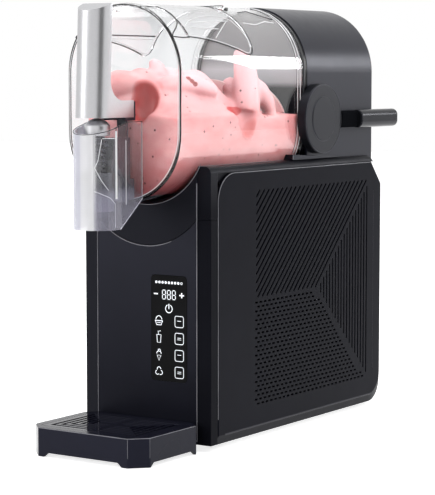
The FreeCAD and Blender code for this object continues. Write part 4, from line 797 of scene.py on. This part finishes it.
heap = mix_bed()
ROPES = (
    [(44, -20, 322, 16), (42, -14, 342, 14), (39, -11, 362, 12), (35, -10, 375, 10), (31, -13, 381, 6),
     (28, -16, 382, 3)],
    [(38, -8, 352, 11), (46, 2, 344, 11), (52, 8, 333, 9), (55, 11, 322, 6)],
    [(-34, -128, 330, 16), (-32, -138, 345, 15), (-20, -140, 352, 14), (-4, -138, 352, 12),
     (6, -137, 348, 10)],
    [(3, -110, 358, 12), (1, -106, 367, 8), (-5, -104, 372, 5), (-9, -106, 372, 3)],
    [(18, -130, 345, 11), (22, -110, 351, 11), (28, -86, 350, 11), (34, -62, 343, 9)],
    [(14, -8, 350, 10), (24, -10, 346, 11), (32, -16, 334, 10), (40, -22, 322, 8)],
    [(-20, -10, 335, 14), (-24, 12, 342, 13), (-18, 30, 338, 11), (-6, 42, 330, 8)],
)
for route in ROPES:
    add_rope(heap, route)
bmesh.ops.recalc_face_normals(heap, faces=heap.faces)
mix_mesh = bpy.data.meshes.new("mix_heap")
heap.to_mesh(mix_mesh)
heap.free()
mix = bpy.data.objects.new("mix_heap", mix_mesh)
bpy.context.scene.collection.objects.link(mix)


def settle(piece, *changes):
    """Applies modifiers to a piece in turn; each change is (type, values)."""
    for kind, values in changes:
        step = piece.modifiers.new(kind.lower(), kind)
        for key, value in values.items():
            setattr(step, key, value)
    shaped = bpy.data.meshes.new_from_object(piece.evaluated_get(bpy.context.evaluated_depsgraph_get()))
    piece.modifiers.clear()
    piece.data = shaped


def carve(centre, size, steps=24):
    """A round cutter; centre and half sizes in millimetres."""
    ball = bmesh.new()
    bmesh.ops.create_uvsphere(ball, u_segments=steps, v_segments=steps // 2, radius=1.0)
    for v in ball.verts:
        v.co = Vector([(c + s * q) * MM for c, s, q in zip(centre, size, v.co)])
    data = bpy.data.meshes.new("cutter")
    ball.to_mesh(data)
    ball.free()
    cutter = bpy.data.objects.new("cutter", data)
    bpy.context.scene.collection.objects.link(cutter)
    return cutter


settle(mix, ("REMESH", {"mode": "VOXEL", "voxel_size": 0.0017}))
HOLLOWS = (
    ((16, -151, 337), (14, 17, 22)), ((61, -43, 322), (9, 15, 22)), ((32.5, -101, 358), (2.4, 3, 2.4)),
    ((35, -98.5, 355), (2.4, 3, 2.4)), ((36.6, -95.5, 352), (2.4, 3, 2.4)),
    ((-66, -162, 318), (29, 29, 90)),
)
for centre, size in HOLLOWS:
    cutter = carve(centre, size)
    settle(mix, ("BOOLEAN", {"operation": "DIFFERENCE", "object": cutter, "solver": "EXACT"}))
    bpy.data.objects.remove(cutter)
settle(mix, ("REMESH", {"mode": "VOXEL", "voxel_size": 0.0016}),
       ("SMOOTH", {"factor": 0.6, "iterations": 6}))

spots = np.empty(len(mix.data.vertices) * 3)
mix.data.vertices.foreach_get("co", spots)
spots = spots.reshape(-1, 3) / MM
below = np.clip(spots[:, 2], AXIS_Z, ARCH_Z)
reach = np.hypot(spots[:, 0], spots[:, 2] - below)
shrink = np.where(reach > WALL_R, WALL_R / np.maximum(reach, 1e-6), 1.0)
outer = reach > WALL_R - 1.2
shrink = np.where(outer & (spots[:, 2] < 318.0), WALL_R / np.maximum(reach, 1e-6), shrink)
spots[:, 0] *= shrink
spots[:, 2] = below + (spots[:, 2] - below) * shrink
spots[:, 1] = np.clip(spots[:, 1], MIX_FRONT, MIX_REAR)
mix.data.vertices.foreach_set("co", (spots * MM).ravel())

SWEPT_R, SWEPT_LONG, SWEPT_Y = 0.0512, 0.202, -0.043
hollow = bpy.data.meshes.new("hollow")
tube = bmesh.new()
bmesh.ops.create_cone(tube, cap_ends=True, segments=72, radius1=SWEPT_R, radius2=SWEPT_R, depth=SWEPT_LONG)
for v in tube.verts:
    v.co = Vector((v.co.x, v.co.z + SWEPT_Y, v.co.y + AXIS_Z * MM))
bmesh.ops.recalc_face_normals(tube, faces=tube.faces)
tube.to_mesh(hollow)
tube.free()
cutter = bpy.data.objects.new("hollow", hollow)
bpy.context.scene.collection.objects.link(cutter)
settle(mix, ("BOOLEAN", {"operation": "DIFFERENCE", "object": cutter, "solver": "EXACT"}))
bpy.data.objects.remove(cutter)
for face in mix.data.polygons:
    face.use_smooth = True

PINK = (0.80, 0.36, 0.38)
mix_pink, tree, shader = finish("strawberry_mix", PINK, 0.40)
streaks = grain(tree, 0.02, 5.0, (1.0, 0.6, 1.6))
creamy = tint(tree, shader, streaks, (0.77, 0.28, 0.28), (0.87, 0.43, 0.43), 0.3, 0.72)
# Ambient occlusion paints shade into the mix's creases and hollows.
closed_in = tree.nodes.new("ShaderNodeAmbientOcclusion")
closed_in.samples = 8
closed_in.only_local = True
closed_in.inputs["Distance"].default_value = 0.030
open_air = tree.nodes.new("ShaderNodeMapRange")
open_air.inputs["From Min"].default_value = 0.42
open_air.inputs["From Max"].default_value = 0.92
tree.links.new(closed_in.outputs["AO"], open_air.inputs["Value"])


def near(tree, centre, size):
    """1 inside an ellipsoid and 0 a little way outside it; centre and half sizes in millimetres."""
    where = tree.nodes.new("ShaderNodeTexCoord")
    away = tree.nodes.new("ShaderNodeVectorMath")
    away.operation = "SUBTRACT"
    away.inputs[1].default_value = [c * MM for c in centre]
    tree.links.new(where.outputs["Object"], away.inputs[0])
    scaled = tree.nodes.new("ShaderNodeVectorMath")
    scaled.operation = "DIVIDE"
    scaled.inputs[1].default_value = [h * MM for h in size]
    tree.links.new(away.outputs["Vector"], scaled.inputs[0])
    length = tree.nodes.new("ShaderNodeVectorMath")
    length.operation = "LENGTH"
    tree.links.new(scaled.outputs["Vector"], length.inputs[0])
    inside = tree.nodes.new("ShaderNodeMapRange")
    inside.inputs["From Min"].default_value = 1.22
    inside.inputs["From Max"].default_value = 0.98
    tree.links.new(length.outputs["Value"], inside.inputs["Value"])
    return inside.outputs["Result"]


# Painted light on the mix: its upper slopes behind the front curl are painted lighter as a painted
# highlight; painted shade darkens it low at the front, in the carved hollows and curl, and in the notch.
# The dark seeds are its own colour.
painted_top_light = blend(tree, along_axis(tree, "Z", 0.320, 0.350), creamy, (0.87, 0.52, 0.54))
painted_top_light = blend(tree, along_axis(tree, "Y", -0.135, -0.100), creamy, painted_top_light)
painted_shade = blend(tree, open_air.outputs["Result"], (0.36, 0.035, 0.040), painted_top_light)
painted_low_shade = blend(tree, along_axis(tree, "Z", 0.246, 0.290), (0.30, 0.035, 0.04), painted_shade)
painted_shade = blend(tree, along_axis(tree, "Y", -0.105, -0.070), painted_low_shade, painted_shade)
HOLLOW_SHADE = ((0.50, 0.085, 0.080), (0.62, 0.15, 0.14)) + 3 * ((0.30, 0.03, 0.03),)
for (centre, size), colour in zip(HOLLOWS, HOLLOW_SHADE):
    painted_shade = blend(tree, near(tree, centre, size), painted_shade, colour)
painted_shade = blend(tree, near(tree, (44, -42, 325), (7, 11, 4.5)), painted_shade, (0.52, 0.02, 0.02))
seeds = tree.nodes.new("ShaderNodeTexVoronoi")
seeds.inputs["Scale"].default_value = 95.0
where = tree.nodes.new("ShaderNodeTexCoord")
tree.links.new(where.outputs["Object"], seeds.inputs["Vector"])
speck = tree.nodes.new("ShaderNodeMapRange")
speck.inputs["From Min"].default_value = 0.085
speck.inputs["From Max"].default_value = 0.13
speck.inputs["To Min"].default_value = 1.0
speck.inputs["To Max"].default_value = 0.0
tree.links.new(seeds.outputs["Distance"], speck.inputs["Value"])
berry = blend(tree, speck.outputs["Result"], painted_shade, (0.10, 0.008, 0.012))
tree.links.new(berry, shader.inputs["Base Color"])
shader.inputs["Subsurface Weight"].default_value = 0.25
shader.inputs["Subsurface Radius"].default_value = (1.0, 0.35, 0.3)
shader.inputs["Subsurface Scale"].default_value = 0.004
relief(tree, shader, grain(tree, 0.006, 4.0), 0.0004, 0.6)
mix.data.materials.clear()
mix.data.materials.append(mix_pink)
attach(mix, "vessel")
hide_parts("frozen_mix")


# Tap
# A smoked valve body sticks out of the vessel's front inside a clear guard. The cast silver handle
# turns on a pin and presses the plunger's silver cap; a spring lifts it again.

SMOKE = (0.030, 0.031, 0.044)
PALE = (0.24, 0.24, 0.28)
smoke, tree, shader = finish("valve_smoke", SMOKE, 0.16)
tint(tree, shader, along_axis(tree, "Z", 0.249, 0.257), PALE, SMOKE, 0.0, 1.0)
polish(tree, shader, grain(tree, 0.015, 3.0), 0.12, 0.22)
dress(smoke, "spout_body")

STEM = (0.030, 0.030, 0.040)
stem, tree, shader = finish("plunger_stem", STEM, 0.25)
tint(tree, shader, grain(tree, 0.01, 3.0), shade(STEM, 0.85), shade(STEM, 1.2))
dress(stem, "valve_plunger")
coil = brushed_steel("spring_steel", (0.10, 0.10, 0.115), 0.35, (1.0, 1.0, 1.0))
VALVE_Y, SPRING_LOW, SPRING_HIGH, SPRING_R, WIRE_R = -202.0, 270.3, 303.7, 7.0, 0.8
winding = bmesh.new()
route = []
for i in range(73):
    a = 2 * math.pi * i / 12
    rise = SPRING_LOW + WIRE_R + (SPRING_HIGH - SPRING_LOW - 2 * WIRE_R) * i / 72
    route.append((SPRING_R * math.cos(a), VALVE_Y + SPRING_R * math.sin(a), rise, WIRE_R))
add_rope(winding, route)
bmesh.ops.recalc_face_normals(winding, faces=winding.faces)
spring_mesh = bpy.data.meshes.new("spring_coil")
winding.to_mesh(spring_mesh)
winding.free()
spring_mesh.materials.append(coil)
spring = bpy.data.objects.new("spring_coil", spring_mesh)
bpy.context.scene.collection.objects.link(spring)
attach(spring, "vessel")
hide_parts("valve_spring")
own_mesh(spring)

# The guard's clearness and colour are painted by place and stand in for refraction through its curved
# walls: it is painted less clear over its left part and low on its right, lilac-grey on the left and
# below, with fine upright painted streaks.
guard_clear = clear_plastic("guard_clear", (0.93, 0.94, 0.965), 0.03)
tree = guard_clear.node_tree
shader = tree.nodes["Principled BSDF"]
wall = tree.nodes.new("ShaderNodeMath")
wall.operation = "MULTIPLY"
tree.links.new(along_axis(tree, "X", 0.0095, 0.0125), wall.inputs[0])
clarity_by_height = tree.nodes.new("ShaderNodeMapRange")
clarity_by_height.inputs["To Min"].default_value = 0.62
tree.links.new(along_axis(tree, "Z", 0.238, 0.250), clarity_by_height.inputs["Value"])
tree.links.new(clarity_by_height.outputs["Result"], wall.inputs[1])
painted_clarity = tree.nodes.new("ShaderNodeMapRange")
painted_clarity.inputs["To Min"].default_value = 0.45
painted_clarity.inputs["To Max"].default_value = 0.98
tree.links.new(wall.outputs["Value"], painted_clarity.inputs["Value"])
tree.links.new(painted_clarity.outputs["Result"], shader.inputs["Transmission Weight"])
painted_streaks = blend(tree, grain(tree, 0.004, 2.0, (1.0, 1.0, 0.03)), (0.90, 0.90, 0.93), (1.0, 1.0, 1.0))
painted_refraction_tint = blend(tree, along_axis(tree, "X", -0.004, -0.002), (0.76, 0.76, 0.83), painted_streaks)
painted_low_tint = blend(tree, along_axis(tree, "Z", 0.240, 0.262), (0.60, 0.59, 0.68), painted_refraction_tint)
painted_refraction_tint = blend(tree, along_axis(tree, "X", 0.0095, 0.0125), painted_refraction_tint, painted_low_tint)
tree.links.new(painted_refraction_tint, shader.inputs["Base Color"])
dress(guard_clear, "spout_shroud")
nodes["spout_shroud"].visible_shadow = False

GUARD_R, GUARD_BACK = 22.5, -161.6


def guard_height(y):
    """Height of the guard's top edge at y, in millimetres."""
    return 317.0 if y >= -185 else 304.0 + (y + 230.0) * 13.0 / 45.0


rim = [(GUARD_R, y, guard_height(y)) for y in (GUARD_BACK, -175.0, -185.0, -194.0)]
for i in range(25):
    a = math.pi * i / 24
    y = VALVE_Y - GUARD_R * math.sin(a)
    rim.append((GUARD_R * math.cos(a), y, guard_height(y)))
rim += [(-GUARD_R, y, guard_height(y)) for y in (-194.0, -185.0, -175.0, GUARD_BACK)]
# The dark bead round the guard's top edge is a painted reflection; the bright beads on its side and inside
# its wall are painted highlights.
bead("guard_rim_dark_reflection", rim, 0.7, edge_dark, "vessel", False)
bead("guard_highlight_streak", [(GUARD_R - 0.3, VALVE_Y - 0.5, z) for z in (246.0, 280.0, 309.0)], 2.4,
     edge_bright, "vessel", False)
bead("guard_highlight_line", [(GUARD_R - 0.2, -187.4, z) for z in (240.0, 270.0, 300.0)], 0.8,
     edge_bright, "vessel", False)
bead("guard_edge_highlight", [(GUARD_R - 0.6, GUARD_BACK + 0.2, 316.0), (GUARD_R - 0.6, GUARD_BACK + 0.2, 244.5),
                    (GUARD_R - 0.6, -195.8, 217.6)], 0.9, edge_bright, "vessel", False)
GUARD_GLINTS = {
    "guard_glint_low": [(6.3, -223.3, 255.4), (15.5, -217.9, 251.4), (20.7, -209.9, 247.4),
                        (22.1, -204.2, 241.7), (22.1, -203.7, 219.3)],
    "guard_glint_side": [(16.5, -216.8, 301.6), (13.7, -219.4, 281.0), (11.3, -221.1, 275.3),
                         (16.1, -217.3, 263.7), (20.0, -211.6, 254.5)],
    "guard_glint_top": [(16.9, -216.4, 302.2), (20.1, -211.3, 302.3), (22.1, -203.6, 302.1)],
}
for name, path in GUARD_GLINTS.items():
    bead(name, path, 0.6, edge_bright, "vessel", False)

SILVER = (0.52, 0.52, 0.535)
silver, tree, shader = finish("handle_silver", SILVER, 0.27, 1.0)
tint(tree, shader, grain(tree, 0.0015, 2.0), shade(SILVER, 0.98), shade(SILVER, 1.02))
polish(tree, shader, grain(tree, 0.01, 3.0), 0.31, 0.35)
dress(silver, "dispense_handle", "plunger_cap")


# Drip tray
# A black moulded tray on its own corner feet hooks into the front panel. The slotted grate is a
# glossier moulding that lies loose in it and lifts out.

TRAY = (0.0066, 0.0070, 0.0150)
tray_plastic = satin_plastic("tray_satin", TRAY, 0.17, 0.13)
dress(tray_plastic, "drip_tray")
grate_plastic = satin_plastic("grate_gloss", TRAY, 0.06, 0.2)
dress(grate_plastic, "drip_grate")
# The grey beads along the tray's top front edge and up its front corners are painted highlights.
bead("tray_rim_highlight", [(-52.4, -227.5, 27.2), (52.4, -227.5, 27.2), (67.1, -212.8, 27.2), (67.1, -139.0, 27.2)],
     0.7, glint, "tray", False)
for name, x, y in (("tray_corner_front_highlight", 52.5, -227.6), ("tray_corner_side_highlight", 67.2, -212.9)):
    bead(name, [(x, y, z) for z in (9.0, 18.0, 26.8)], 0.6, glint, "tray", False)


# Floor, light and camera
# A white floor under soft light from both sides, above and behind; a black flag at the right gives the
# silver handle its dark stripe. The camera stands where the photograph was taken from.

floor_mesh = bpy.data.meshes.new("floor")
floor_mesh.from_pydata([(-6, -6, 0), (6, -6, 0), (6, 6, 0), (-6, 6, 0)], [], [(0, 1, 2, 3)])
floor = bpy.data.objects.new("floor", floor_mesh)
bpy.context.scene.collection.objects.link(floor)
floor.location.z = -0.0005
white, tree, shader = finish("floor_white", (0.86, 0.86, 0.86), 0.6)


def backdrop_rays(tree):
    """1 for what the camera, glossy plastic, metal and clear plastic see of the backdrop, else 0."""
    rays = tree.nodes.new("ShaderNodeLightPath")
    seen = rays.outputs["Is Camera Ray"]
    for kind in ("Is Glossy Ray", "Is Transmission Ray"):
        either = tree.nodes.new("ShaderNodeMath")
        either.operation = "MAXIMUM"
        tree.links.new(seen, either.inputs[0])
        tree.links.new(rays.outputs[kind], either.inputs[1])
        seen = either.outputs["Value"]
    return seen


glow = tree.nodes.new("ShaderNodeMath")
glow.operation = "MULTIPLY"
glow.inputs[1].default_value = 0.78
tree.links.new(backdrop_rays(tree), glow.inputs[0])
shader.inputs["Emission Color"].default_value = (1.0, 1.0, 1.0, 1.0)
tree.links.new(glow.outputs["Value"], shader.inputs["Emission Strength"])
floor_mesh.materials.append(white)

world = bpy.data.worlds.new("studio")
bpy.context.scene.world = world
world.use_nodes = True
tree = world.node_tree
sky = tree.nodes["Background"]
sky.inputs["Color"].default_value = (1.0, 1.0, 1.0, 1.0)
where = tree.nodes.new("ShaderNodeTexCoord")
compass = tree.nodes.new("ShaderNodeTexGradient")
compass.gradient_type = "RADIAL"
tree.links.new(where.outputs["Generated"], compass.inputs["Vector"])
ring = tree.nodes.new("ShaderNodeValToRGB")
ring.color_ramp.interpolation = "EASE"
AROUND = (
    (-180, 0.30), (-135, 0.50), (-110, 0.95), (-75, 1.0), (-52, 0.45), (-34, 0.08), (-2, 0.10), (12, 0.40),
    (26, 0.40), (42, 0.15), (56, 0.42), (70, 0.28), (85, 0.28), (112, 0.75), (150, 0.40), (180, 0.30),
)
while len(ring.color_ramp.elements) < len(AROUND):
    ring.color_ramp.elements.new(0.5)
for stop, (angle, value) in zip(ring.color_ramp.elements, AROUND):
    stop.position = angle / 360 + 0.5
    stop.color = (value, value, value, 1.0)
tree.links.new(compass.outputs["Fac"], ring.inputs["Fac"])
level = tree.nodes.new("ShaderNodeMix")
tree.links.new(backdrop_rays(tree), level.inputs["Factor"])
tree.links.new(ring.outputs["Color"], level.inputs["A"])
level.inputs["B"].default_value = 1.0
tree.links.new(level.outputs["Result"], sky.inputs["Strength"])

flag_mesh = bpy.data.meshes.new("black_flag")
FLAG = ((1.04, -0.89), (1.25, -0.23))
flag_mesh.from_pydata([(x, y, z) for z in (-0.2, 1.0) for x, y in FLAG], [], [(0, 1, 3, 2)])
flag = bpy.data.objects.new("black_flag", flag_mesh)
bpy.context.scene.collection.objects.link(flag)
flag_cloth, tree, shader = finish("flag_cloth", (0.004, 0.004, 0.004), 0.95)
shader.inputs["Specular IOR Level"].default_value = 0.0
flag_mesh.materials.append(flag_cloth)
flag.visible_camera = False
flag.visible_diffuse = False
flag.visible_shadow = False
flag.visible_transmission = False


def softbox(name, spot, target, size, power):
    """A rectangular lamp at spot, facing target; size in metres."""
    lamp = bpy.data.lights.new(name, "AREA")
    lamp.shape = "RECTANGLE"
    lamp.size, lamp.size_y = size
    lamp.energy = power
    holder = bpy.data.objects.new(name, lamp)
    bpy.context.scene.collection.objects.link(holder)
    holder.location = spot
    holder.rotation_euler = (Vector(target) - Vector(spot)).to_track_quat("-Z", "Y").to_euler()
    holder.visible_camera = False


softbox("key_light", (1.5, 0.1, 1.5), (0.0, -0.05, 0.33), (0.9, 0.9), 11.0)
softbox("fill_light", (-1.1, -1.7, 0.9), (0.0, -0.1, 0.25), (0.9, 0.9), 10.0)
softbox("top_light", (0.0, 0.0, 1.9), (0.0, 0.0, 0.3), (1.4, 1.4), 14.0)
softbox("rear_strip", (1.09, 1.81, 0.73), (0.0, 1.81, 0.73), (0.48, 0.44), 9.0)

camera_data = bpy.data.cameras.new("camera")
camera_data.sensor_width = 36.0
camera_data.lens = 139.30
camera = bpy.data.objects.new("camera", camera_data)
bpy.context.scene.collection.objects.link(camera)
camera.location = (1.08869, -1.62393, 0.36391)
turn, dip = math.radians(33.85), math.radians(5.25)
ahead = Vector((-math.sin(turn) * math.cos(dip), math.cos(turn) * math.cos(dip), -math.sin(dip)))
camera.rotation_euler = ahead.to_track_quat("-Z", "Y").to_euler()
bpy.context.scene.camera = camera
bpy.context.scene.view_settings.view_transform = "Standard"
